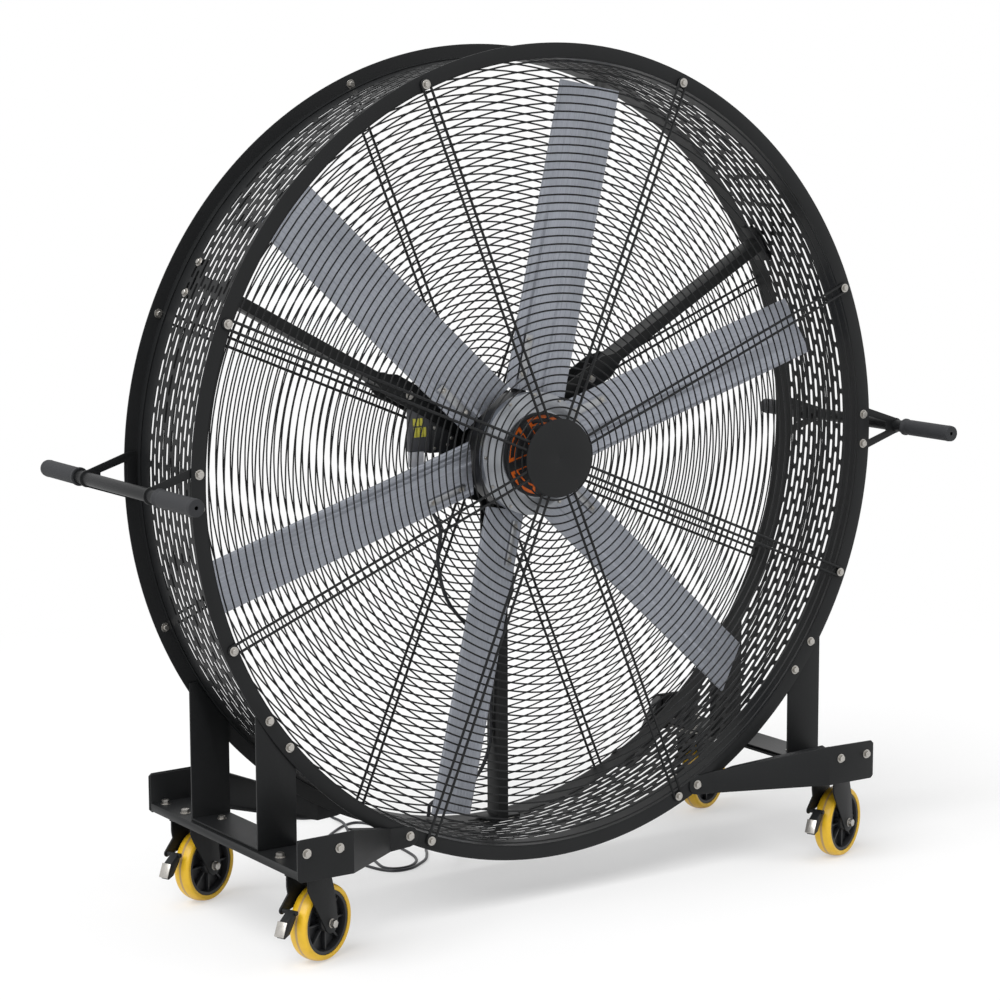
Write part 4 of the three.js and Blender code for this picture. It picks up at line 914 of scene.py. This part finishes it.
# Polished aluminium, turned on a lathe: its tone runs in lighter and darker rings about a centimetre wide
# round the axis, partly the lathe's rings and partly a painted reflection of the bands that polished
# metal mirrors.
polished_aluminium, tree, shader = new_material(
    "polished_turned_aluminium", {"Metallic": 1.0, "Roughness": 0.34})
place = add_node(tree, "ShaderNodeTexCoord")
centred = add_node(tree, "ShaderNodeMapping",
                   {"Vector": place.outputs["Object"], "Location": (0, 0, -axis_height)})
parts = add_node(tree, "ShaderNodeSeparateXYZ", {0: centred})
flat_spot = add_node(tree, "ShaderNodeCombineXYZ", {0: parts, 1: parts.outputs[2]})
from_axis = add_node(tree, "ShaderNodeVectorMath", {0: flat_spot}, operation="LENGTH")
ring_spot = add_node(tree, "ShaderNodeCombineXYZ", {0: from_axis.outputs["Value"]})
# Rings of tone round the axis: lathe rings and painted reflection bands together.
lathe_rings_and_reflection = add_node(tree, "ShaderNodeTexNoise", {"Vector": ring_spot, "Scale": 80.0, "Detail": 2.0})
tone = add_node(tree, "ShaderNodeMix", {0: lathe_rings_and_reflection, 6: linear("#8b8e93"), 7: linear("#b0b3b8")},
                data_type="RGBA")
tree.links.new(tone.outputs[2], shader.inputs["Base Color"])

rotor_radius = 0.158
rotor_bore = 0.150
rotor_front = -0.0597
rotor_back = 0.022
cup = turned_mesh(rounded_corners([(rotor_bore, rotor_front), (rotor_radius, rotor_front),
                                   (rotor_radius, rotor_back), (rotor_bore, rotor_back)], 0.0015), 96)
tongue_half = 0.020
tongue_front = skin + seat_gap
tongue = block((clip_offset - tongue_half, tongue_front, rotor_bore),
               (clip_offset + tongue_half, tongue_front + 0.006, clip_outer), 0.0015)
tongue.transform(blade_set)
tongues = grown("rotor_tongues", around, piece=pattern_piece("tongue", tongue), count=blade_count,
                first_angle=first_blade, material=cast_paint)
cup = as_object("rotor_cup", cup, cast_paint)
dish = as_object("rotor_dish", turned_mesh([
    (0.0600, -0.098), (0.1165, -0.098), (0.1180, -0.0975), (0.1200, -0.0962), (0.1290, -0.0912),
    (0.1400, -0.0852), (0.1490, -0.0806), (0.1520, -0.0798), (0.1640, -0.0798), (0.1656, -0.0792),
    (0.1660, -0.0780), (0.1660, -0.0606), (0.1654, -0.0600), (rotor_radius, -0.0600), (0.146, -0.074),
    (0.112, -0.092), (0.0600, -0.092)], 128), polished_aluminium, 0.5)

# Moulded ABS in signal orange: semi-gloss, with a grain of two millimetres.
orange_plastic = even_skin("moulded_abs_orange", "#f4661a", "#ff8430", 500.0, 2.0,
                           {"Roughness": 0.40, "IOR": 1.53, "Specular IOR Level": 0.4})

cap_front = -0.111
face_front = -0.1073
panel_front = face_front - 0.0018
face_radius = 0.1064
face_back = -0.1019
face = as_object("rotor_face_plate", turned_mesh(
    [(0.0001, face_front), (face_radius, face_front), (face_radius, face_back), (0.0001, face_back)], 96),
    orange_plastic)
cap_cup = turned_mesh(rounded_corners(
    [(0.0001, -0.1016), (0.1067, -0.1016), (0.1067, cap_front), (0.1140, cap_front), (0.1140, -0.0983),
     (0.0001, -0.0983)], 0.0008, 2), 96)


def upright_plate(outline, y0, y1, bevel=0.0008, holes=()):
    """A plate with an outline and windows in the XZ plane."""
    made = extrusion(outline, holes, min(y0, y1), max(y0, y1))
    bmesh.ops.remove_doubles(made, verts=made.verts, dist=1e-7)
    bmesh.ops.dissolve_limit(made, angle_limit=0.01, verts=made.verts, edges=made.edges)
    bevelled(made, bevel)
    made.transform(Matrix(((1, 0, 0, 0), (0, 0, 1, 0), (0, 1, 0, 0), (0, 0, 0, 1))))
    bmesh.ops.recalc_face_normals(made, faces=made.faces)
    return made


def on_clock(angle, radius):
    """The (x, z) of a point at a clock angle and a radius, seen from the front."""
    return radius * math.sin(angle), radius * math.cos(angle)


# Five broad arms reach from the middle of the cap to its rim. Between two arms lie a black panel
# and a black segment outside it, with the orange face showing as lines and as an outer band.
cap_arms = 5
first_arm = math.radians(39)
arm_half = 0.013
arm_reach = 0.1066
between = math.pi / cap_arms
star = []
for number in range(cap_arms):
    turn = first_arm + number * 2 * between
    star += [on_clock(turn + side * math.asin(arm_half / arm_reach), arm_reach) for side in (-1, 1)]
    star.append(on_clock(turn + between, arm_half / math.sin(between)))
panel_inset = 0.017
panel_radius = 0.082
panel_half = between - math.asin(panel_inset / panel_radius)
arc = [1 - step / 6 for step in range(13)]
panel = [on_clock(0, panel_inset / math.sin(between))]
panel += [on_clock(panel_half * share, panel_radius) for share in arc]
segment_inset = 0.023
segment = []
for radius, way in ((0.087, -1), (0.098, 1)):
    half = between - math.asin(segment_inset / radius)
    segment += [on_clock(way * half * share, radius) for share in arc]
cap_star = upright_plate(star, panel_front, face_front, 0.0004)
cap = as_object("rotor_cap_moulding", merged(cap_cup, cap_star), nylon_black)
cap_panel = merged(*(upright_plate(outline, panel_front, face_front, 0.0004)
                     for outline in (panel, segment)))
cap_panels = grown("cap_panels", around, piece=pattern_piece("cap_panel", cap_panel), count=cap_arms,
                   first_angle=first_arm + between, material=nylon_black)
for piece, slot_name in (
        (tongues, "motor_casting"), (cup, "motor_casting"), (dish, "polished_aluminium"),
        (face, "orange_face"), (cap, "black_plastic"), (cap_panels, "black_plastic")):
    piece.data.transform(to_axis)
    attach(piece, "rotor")
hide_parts("rotor_drum")
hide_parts("rotor_hub")
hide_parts("rotor_face")
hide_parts("rotor_cap")
dish_screws = [(on_drum(math.radians(30 * number), 0.158, -0.0798), (0, -1, 0)) for number in range(12)]
screw_m5 = turned_mesh([(0, 0), (0.0045, 0), (0.0045, 0.0024), (0.0036, 0.0036), (0, 0.0036)], 16)
screw_m5.transform(stand_up)
screw_m5 = pattern_piece("screw_m5", screw_m5)
set_bolts("dish_screws", "rotor", screw_m5, dish_screws)


# --- Motor and its struts --------------------------------------------------------------------
# The still half of the motor is a ribbed casting. Three box tubes hold it to the drum, each
# between two plates at the motor and on a flat foot bolted through the sheet.
def dressed_copy(name, node, bevel):
    """A coated steel piece of the frame: its solid's own shape with the edges broken."""
    made = bmesh.new()
    made.from_mesh(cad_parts[node].data)
    bmesh.ops.remove_doubles(made, verts=made.verts, dist=1e-5)
    bmesh.ops.dissolve_limit(made, angle_limit=0.02, verts=made.verts, edges=made.edges)
    bevelled(made, bevel, angle=0.6)
    piece = as_object(name, made, powder_coat)
    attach(piece, "frame")
    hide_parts(node)


motor_rib = block((-0.0015, 0.036, 0.1165), (0.0015, 0.132, 0.1215), 0.0004)
rib_count = 48
motor_ribs = grown("motor_ribs", around, piece=pattern_piece("motor_rib", motor_rib), count=rib_count,
                   first_angle=0.0, material=cast_paint)
motor_case = as_object("motor_case", turned_mesh([
    (0, -0.098), (0.0585, -0.098), (0.0585, 0.024), (0.112, 0.024), (0.118, 0.030), (0.118, 0.138),
    (0.116, 0.140), (0, 0.140)], 96), cast_paint)
ring_plate = as_object("motor_ring_plate", turned_mesh(rounded_corners(
    [(0.060, 0.1403), (0.158, 0.1403), (0.158, 0.1463), (0.060, 0.1463)], 0.001, 2), 96), powder_coat)
for piece, slot_name in (
        (motor_case, "motor_casting"), (motor_ribs, "motor_casting"), (ring_plate, "black_coat")):
    piece.data.transform(to_axis)
    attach(piece, "frame")
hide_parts("motor_body")
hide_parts("motor_bracket")

strut_bolts = []
foot_bolts = []
for strut, degrees in (("upper_right", 60), ("lower", 180), ("upper_left", -61.5)):
    dressed_copy(f"strut_{strut}", f"motor_strut_{strut}", 0.0006)
    angle = math.radians(degrees)
    strut_bolts += [(on_drum(angle, radius, 0.072), (0, -1, 0)) for radius in (0.150, 0.340)]
    strut_bolts += [(on_drum(angle, radius, 0.140), (0, 1, 0)) for radius in (0.190, 0.340)]
    for sideways in (-0.043, 0.043):
        spread = math.atan2(sideways, shell_outer)
        out = Vector((math.sin(angle + spread), 0, math.cos(angle + spread)))
        foot_bolts.append((on_drum(angle + spread, drum_inner + sheet_thickness, 0.106), out))
set_bolts("strut_bolts", "frame", bolt_m8, strut_bolts)
set_bolts("foot_bolts", "frame", bolt_m8, foot_bolts)


# --- Drive box -------------------------------------------------------------------------------
# A moulded black housing for the motor's electronics beside the upper left strut. Its outer third
# is a grey terminal block with two rows of small yellow levers over two lighter covers.
housing = upright_plate(
    [(-0.2385, 1.202), (-0.150, 1.202), (-0.150, 1.228), (-0.166, 1.2522), (-0.2385, 1.2916)],
    0.070, 0.140, 0.002)
housing = as_object("drive_housing", housing, nylon_black)
housing_lid = upright_plate(
    [(-0.232, 1.208), (-0.156, 1.208), (-0.156, 1.227), (-0.169, 1.247), (-0.232, 1.281)],
    0.0675, 0.0702, 0.001)
housing_lid = as_object("drive_housing_lid", housing_lid, nylon_black)

# Nylon again, in dark and in light grey, and a glossier yellow for the levers. Their grain is too
# fine to see, so only the tone shifts, by a little.
nylon_grey = even_skin("moulded_nylon_dark_grey", "#414245", "#505155", 800.0, 2.0,
                       {"Roughness": 0.5, "IOR": 1.53})
nylon_pale = even_skin("moulded_nylon_light_grey", "#cfd0d5", "#dfe0e5", 800.0, 2.0,
                       {"Roughness": 0.5, "IOR": 1.53})
terminal_yellow = even_skin("moulded_nylon_yellow", "#c9c23a", "#dcd65a", 700.0, 1.0,
                            {"Roughness": 0.45, "IOR": 1.53})

terminal_block = as_object("terminal_block", merged(
    upright_plate([(-0.300, 1.2095), (-0.2388, 1.2095), (-0.2388, 1.2918), (-0.300, 1.325)],
                  0.070, 0.088, 0.0015),
    block((-0.268, 0.0878, 1.2019), (-0.2388, 0.112, 1.2880), 0.0012)), nylon_grey)
lever_rows = ((1.2886, 0.010, (-0.2880, -0.2775, -0.2665)),
              (1.2616, 0.013, (-0.2855, -0.2755, -0.2652, -0.2555)))
levers = [block((x - 0.0036, 0.0655, z - tall), (x + 0.0036, 0.0705, z + tall), 0.0008)
          for z, tall, row in lever_rows for x in row]
levers = as_object("terminal_levers", merged(*levers), terminal_yellow)
covers = [block((low, 0.071, 1.168), (high, 0.088, 1.2092), 0.0012)
          for low, high in ((-0.2965, -0.2780), (-0.2740, -0.2560))]
covers = as_object("terminal_covers", merged(*covers), nylon_pale)
for piece in (housing, housing_lid, terminal_block, levers, covers):
    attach(piece, "frame")
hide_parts("drive_box")
box_screws = [(Vector((x, 0.0675, z)), (0, -1, 0)) for x, z in (
    (-0.184, 1.2215), (-0.226, 1.2145), (-0.226, 1.270), (-0.172, 1.239))]
set_bolts("drive_box_screws", "frame", screw_m5, box_screws)


# --- Motor cable -----------------------------------------------------------------------------
# Round black cable in the cord's own PVC: it hangs from the drive box in a slack curve, follows
# the lower strut down and ends in the gland.
cable_points = [Vector(point) for point in (
    (-0.258, 0.100, 1.2017), (-0.258, 0.100, 1.188), (-0.246, 0.088, 1.085), (-0.203, 0.076, 0.992),
    (-0.214, 0.072, 0.910), (-0.186, 0.072, 0.800), (-0.092, 0.086, 0.690), (-0.030, 0.100, 0.590),
    (-0.022, 0.106, 0.480), (-0.026, 0.110, 0.360), (-0.062, 0.124, 0.275), (-0.132, 0.143, 0.238))]
cable_points += [on_drum(gland_angle, drum_inner * flat_share - height, gland_y)
                 for height in (0.036, 0.016, 0.002)]
cable_path = smooth_path(cable_points)
motor_cable = round_cord("motor_cable_round", cable_path, 0.005, pvc_black)
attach(motor_cable, "frame")
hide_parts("motor_cable")


# --- Push handles ----------------------------------------------------------------------------
# A steel tube runs along each side of the drum on two plates with a trapezoid window, bolted
# behind the flanges. A soft black grip is pushed over each end.

# Cellular rubber skin: fine pores, about half a millimetre, drawn at one.
rubber_black = even_skin(
    "foam_rubber_black", "#222325", "#333437", 900.0, 3.0,
    {"Roughness": 0.72, "IOR": 1.5, "Specular IOR Level": 0.35}, relief=(0.4, 0.0006))

handle_x = 1.190
eye_half = 0.022
tube_bore = 0.01425
tube_radius = 0.01685
tube_half = 0.408
plate_thickness = 0.005
for place_name, side in (("left", -1), ("right", 1)):
    tube = turned_mesh(rounded_corners(
        [(tube_bore, -tube_half), (tube_radius, -tube_half), (tube_radius, tube_half),
         (tube_bore, tube_half)], 0.0005, 2), 40)
    tube.transform(Matrix.Translation((side * handle_x, 0, 0)))
    plates = []
    for end in (-1, 1):
        outline = [(1.055, -0.060), (1.076, -0.060), (handle_x, -eye_half)]
        outline += [(handle_x + eye_half * math.cos(a), eye_half * math.sin(a))
                    for a in (math.radians(-75 + 15 * step) for step in range(11))]
        outline += [(handle_x, eye_half), (1.076, 0.060), (1.055, 0.060)]
        window = [(1.080, -0.036), (1.080, 0.036), (1.154, 0.013), (1.154, -0.013)]
        outer = end * (flange_back - seat_gap)
        plates.append(upright_plate([(side * x, z) for x, z in outline], outer,
                                    outer - end * plate_thickness,
                                    holes=[[(side * x, z) for x, z in window]]))
    handle = as_object(f"handle_rail_{place_name}", merged(tube, *plates), powder_coat)
    handle.data.transform(to_axis)
    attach(handle, "frame")
    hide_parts(f"handle_{place_name}")
    for end_name, end in (("front", -1), ("rear", 1)):
        sleeve = turned_mesh(rounded_corners([
            (0.0172, end * 0.221), (0.024, end * 0.221), (0.024, end * 0.2265), (0.0222, end * 0.230),
            (0.0212, end * 0.237), (0.0220, end * 0.245), (0.0220, end * 0.396), (0.0226, end * 0.403),
            (0.0214, end * 0.414), (0.0050, end * 0.414), (0.0050, end * 0.4083), (0.0172, end * 0.4083)],
            0.0012, 3), 56)
        sleeve = as_object(f"grip_sleeve_{end_name}_{place_name}", sleeve, rubber_black,
                           at=Matrix.Translation((side * handle_x, 0, axis_height)))
        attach(sleeve, "frame")
        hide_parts(f"grip_{end_name}_{place_name}")


# --- Stands, base plates and corner arms -----------------------------------------------------
# Laser-cut and folded steel plate, powder coated: a U-shaped stand under each side of the drum
# on a long base plate, and an arm from each end of the base to the drum's flange.
for place_name in ("left", "right"):
    dressed_copy(f"stand_plate_{place_name}", f"stand_{place_name}", 0.0010)
    dressed_copy(f"base_sheet_{place_name}", f"base_plate_{place_name}", 0.0010)
    for end_name in ("front", "rear"):
        dressed_copy(f"arm_sheet_{end_name}_{place_name}", f"arm_{end_name}_{place_name}", 0.0010)


# --- Casters ---------------------------------------------------------------------------------
# Pressed zinc top plate with its bearing race, a black fork on a kingpin, a ribbed black wheel
# centre with a cast yellow polyurethane tyre, and a brake lever in the black coat, which is partly
# painted shade for the pedal's shaded side flange, with a zinc pad in front.
polyurethane, tree, shader = new_material(
    "cast_polyurethane_yellow", {
        "Roughness": 0.38, "IOR": 1.5, "Subsurface Weight": 0.08,
        "Subsurface Radius": (0.004, 0.003, 0.001), "Subsurface Scale": 1.0})
# Cast smooth and semi-gloss; a brown line of floor dirt runs round the crown, and the tread is
# scuffed darker in patches a few centimetres long.
across_tread = add_node(tree, "ShaderNodeAttribute", attribute_name="across_tread")
place = add_node(tree, "ShaderNodeTexCoord")
scuff = add_node(tree, "ShaderNodeTexNoise",
                 {"Vector": place.outputs["Object"], "Scale": 38.0, "Detail": 4.0})
tone = add_node(tree, "ShaderNodeMix", {0: scuff, 6: linear("#d9ab10"), 7: linear("#f0c42c")},
                data_type="RGBA")
waver = add_node(tree, "ShaderNodeMath", {0: scuff, 1: 0.004}, operation="MULTIPLY")
edge = add_node(tree, "ShaderNodeMath", {0: across_tread.outputs["Fac"], 1: waver}, operation="SUBTRACT")
stripe = add_node(tree, "ShaderNodeMapRange",
                  {"Value": edge, "From Min": 0.0005, "From Max": 0.0022, "To Min": 0.75, "To Max": 0.0})
tone = add_node(tree, "ShaderNodeMix", {0: stripe, 6: tone.outputs[2], 7: linear("#a3876f")},
                data_type="RGBA")
tree.links.new(tone.outputs[2], shader.inputs["Base Color"])

caster_x = 0.848578
heading = math.radians(22)
trail = 0.050
wheel_radius = 0.100
plate_low = 0.2607
plate_high = 0.2657
plate_outline = rounded_corners([(-0.055, -0.0675), (0.055, -0.0675), (0.055, 0.0675), (-0.055, 0.0675)],
                                0.012, 4)
# The fork's legs are cut in profile. Both carry the axle in a round boss, and the far one reaches
# forward to a lug round the brake's pin.
leg_inner = 0.031
leg_outer = 0.036
brake_pin = (-0.062, 0.150)
boss_radius = 0.026
lug_radius = 0.010
boss = [(trail + boss_radius * math.cos(a), wheel_radius + boss_radius * math.sin(a))
        for a in (math.radians(195 + 15 * step) for step in range(12))]
leg_top = [(0.0475, 0.2370), (-0.0420, 0.2370), (-0.0420, 0.2050)]
leg_back = (0.0650, 0.1800)
lug = [(-0.0380, 0.1860)]
lug += [(brake_pin[0] + lug_radius * math.cos(a), brake_pin[1] + lug_radius * math.sin(a))
        for a in (math.radians(120 + 15 * step) for step in range(12))]
lug += [(-0.0080, 0.1500)]
tyre_section = [(0.0831, -0.0235), (0.0900, -0.0258), (0.0932, -0.0248), (0.0960, -0.0215),
                (0.0979, -0.0160), (0.0992, -0.0095), (0.0998, -0.0030), (0.0999, 0), (0.0998, 0.0030),
                (0.0992, 0.0095), (0.0979, 0.0160), (0.0960, 0.0215), (0.0932, 0.0248),
                (0.0900, 0.0258), (0.0831, 0.0235)]
rim_ribs = 8
wheel_bolt = pattern_piece("wheel_bolt", hexagon_bolt(across=0.0185, head=0.0125, washer=0.0120))
for end_name, end in (("front", -1), ("rear", 1)):
    for place_name, side in (("left", -1), ("right", 1)):
        label = f"{end_name}_{place_name}"
        swivel_place = Matrix.Translation((side * caster_x, end * caster_y, 0))
        swivel = swivel_place @ Matrix.Rotation(heading, 4, "Z")
        wheel = swivel @ Matrix.Translation((trail, 0, wheel_radius))

        top = bevelled(extrusion(plate_outline, [], plate_low, plate_high), 0.0008)
        race = turned_mesh([(0, 0.2500), (0.0465, 0.2500), (0.0470, 0.2506), (0.0470, 0.2540),
                            (0.0440, 0.2585), (0.0400, plate_low), (0, plate_low)], 56)
        race.transform(stand_up)
        plate = as_object(f"caster_top_{label}", merged(top, race), zinc_plate, at=swivel_place)
        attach(plate, "frame")
        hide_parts(f"caster_{label}_plate")

        head = turned_mesh([(0, 0.2340), (0.0400, 0.2340), (0.0440, 0.2375), (0.0440, 0.2480),
                            (0.0425, 0.2497), (0, 0.2497)], 56)
        head.transform(stand_up)
        crown = block((-0.0475, -leg_outer, 0.2342), (0.0475, leg_outer, 0.2398), 0.0015)
        near_leg = upright_plate([*leg_top, (-0.0300, 0.1820), *boss, leg_back],
                                 -leg_outer, -leg_inner, 0.0010)
        far_leg = upright_plate([*leg_top, *lug, *boss, leg_back], leg_inner, leg_outer, 0.0010)
        kingpin = turned_mesh([(0, 0.2270), (0.0105, 0.2270), (0.0115, 0.2280), (0.0115, 0.2342),
                               (0, 0.2342)], 6)
        kingpin.transform(stand_up)
        axle = turned_mesh([(0, -0.042), (0.0070, -0.042), (0.0080, -0.041), (0.0080, 0.041),
                            (0.0070, 0.042), (0, 0.042)], 24)
        axle.transform(Matrix.Translation((trail, 0, wheel_radius)))
        fork = as_object(f"caster_fork_{label}", merged(head, crown, near_leg, far_leg), powder_coat,
                         at=swivel)
        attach(fork, f"swivel_{label}")
        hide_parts(f"caster_{label}_fork")
        hardware = as_object(f"caster_pins_{label}", merged(kingpin, axle), zinc_plate, at=swivel)
        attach(hardware, f"swivel_{label}")
        axle_ends = [(wheel @ Vector((0, y * leg_outer, 0)), wheel.to_3x3() @ Vector((0, y, 0)))
                     for y in (-1, 1)]
        set_bolts(f"caster_nuts_{label}", f"swivel_{label}", wheel_bolt, axle_ends)

        tyre = turned_mesh(tyre_section, 96)
        tread = tyre.verts.layers.float.new("across_tread")
        for vertex in tyre.verts:
            vertex[tread] = abs(vertex.co.y)
        tyre = as_object(f"caster_tread_{label}", tyre, polyurethane, 0.8, wheel)
        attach(tyre, f"wheel_{label}")
        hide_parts(f"caster_{label}_tyre")

        seat = turned_mesh(rounded_corners([
            (0.0740, -0.0225), (0.0827, -0.0225), (0.0827, 0.0225), (0.0740, 0.0225), (0.0715, 0.0040),
            (0.0715, -0.0040)], 0.0012, 2), 72)
        hub = turned_mesh(rounded_corners([
            (0.0088, -0.0270), (0.0200, -0.0270), (0.0235, -0.0200), (0.0235, 0.0200), (0.0200, 0.0270),
            (0.0088, 0.0270)], 0.0010, 2), 48)
        web = turned_mesh([(0.0230, -0.0030), (0.0720, -0.0030), (0.0720, 0.0030), (0.0230, 0.0030)], 72)
        ribs = []
        for number in range(rim_ribs):
            rib = block((-0.0028, -0.0150, 0.0225), (0.0028, 0.0150, 0.0735), 0.0008)
            rib.transform(Matrix.Rotation(number * 2 * math.pi / rim_ribs, 4, "Y"))
            ribs.append(rib)
        rim = as_object(f"caster_centre_{label}", merged(seat, hub, web, *ribs), nylon_black, at=wheel)
        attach(rim, f"wheel_{label}")
        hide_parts(f"caster_{label}_rim")

        pivot = turned_mesh([(0, -0.0140), (0.0060, -0.0140), (0.0060, 0.0306), (0, 0.0306)], 24)
        pivot.transform(Matrix.Translation((brake_pin[0], 0, brake_pin[1])))
        # The lever takes the black coat. Where the pedal's side flange faces the camera in shade, that
        # black is painted shade.
        lever = upright_plate([(-0.0670, 0.1550), (-0.0560, 0.1490), (-0.0620, 0.1340),
                               (-0.0860, 0.1010), (-0.1060, 0.0935), (-0.1135, 0.1010),
                               (-0.0990, 0.1330)], -0.0100, 0.0140, 0.0012)
        lever = as_object(f"caster_brake_{label}", merged(pivot, lever), powder_coat, at=swivel)
        pad = upright_plate([(-0.0985, 0.1350), (-0.1007, 0.1355), (-0.1160, 0.1010), (-0.1140, 0.0990)],
                            -0.0125, 0.0165, 0.0006)
        pad = as_object(f"caster_pad_{label}", pad, zinc_plate, at=swivel)
        for piece in (lever, pad):
            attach(piece, f"brake_{label}")
        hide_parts(f"caster_{label}_pedal")


# --- Floor and light -------------------------------------------------------------------------
# A matt white floor that takes the fan's shadow and fades into a white backdrop, under an even
# sky with one broad lamp high on the left and a weaker one on the right.
floor_reach = 40
floor_corners = [(x * floor_reach, y * floor_reach, 0) for x, y in ((-1, -1), (1, -1), (1, 1), (-1, 1))]
floor_mesh = bpy.data.meshes.new("floor")
floor_mesh.from_pydata(floor_corners, [], [(0, 1, 2, 3)])
floor = bpy.data.objects.new("floor", floor_mesh)
bpy.context.scene.collection.objects.link(floor)


def seen_backdrop(tree):
    """One for the rays that show or mirror the backdrop, and zero for those that only light."""
    ray = add_node(tree, "ShaderNodeLightPath")
    seen = add_node(tree, "ShaderNodeMath",
                    {0: ray.outputs["Is Camera Ray"], 1: ray.outputs["Is Glossy Ray"]},
                    operation="MAXIMUM")
    return add_node(tree, "ShaderNodeMath", {0: seen, 1: ray.outputs["Is Transmission Ray"]},
                    operation="MAXIMUM")


# White vinyl sheet: dead matt and even. From two metres beyond the fan it is the backdrop's white.
white_floor, tree, shader = new_material(
    "matt_white_floor", {"Base Color": linear("#f4f4f4"), "Roughness": 0.9, "Specular IOR Level": 0.0})
place = add_node(tree, "ShaderNodeTexCoord")
from_middle = add_node(tree, "ShaderNodeVectorMath", {0: place.outputs["Object"]}, operation="LENGTH")
fade = add_node(tree, "ShaderNodeMapRange",
                {"Value": from_middle.outputs["Value"], "From Min": 2.0, "From Max": 4.0, "To Min": 0.45},
                interpolation_type="SMOOTHSTEP")
seen = seen_backdrop(tree)
seen = add_node(tree, "ShaderNodeMath", {0: seen, 1: fade}, operation="MULTIPLY")
backdrop = add_node(tree, "ShaderNodeEmission", {"Color": (1, 1, 1, 1), "Strength": 1.0})
surface = add_node(tree, "ShaderNodeMixShader", {0: seen, 1: shader, 2: backdrop})
tree.links.new(surface.outputs[0], tree.nodes["Material Output"].inputs["Surface"])
floor_mesh.materials.append(white_floor)

world = bpy.data.worlds.new("studio")
bpy.context.scene.world = world
world.use_nodes = True
tree = world.node_tree
tree.nodes.clear()
seen = seen_backdrop(tree)
sky = add_node(tree, "ShaderNodeBackground", {"Color": (1, 1, 1, 1), "Strength": 0.46})
white = add_node(tree, "ShaderNodeBackground", {"Color": (1, 1, 1, 1), "Strength": 1.0})
mixed = add_node(tree, "ShaderNodeMixShader", {0: seen, 1: sky, 2: white})
add_node(tree, "ShaderNodeOutputWorld", {"Surface": mixed})

for name, towards, power, spread in (
        ("key", (0.80, 0.30, -1.10), 2.8, 50), ("fill", (-0.80, 0.60, -0.70), 0.30, 70)):
    lamp_data = bpy.data.lights.new(name, "SUN")
    lamp_data.angle = math.radians(spread)
    lamp_data.energy = power
    lamp = bpy.data.objects.new(name, lamp_data)
    bpy.context.scene.collection.objects.link(lamp)
    lamp.rotation_euler = Vector(towards).to_track_quat("-Z", "Y").to_euler()

bpy.context.scene.view_settings.view_transform = "Standard"
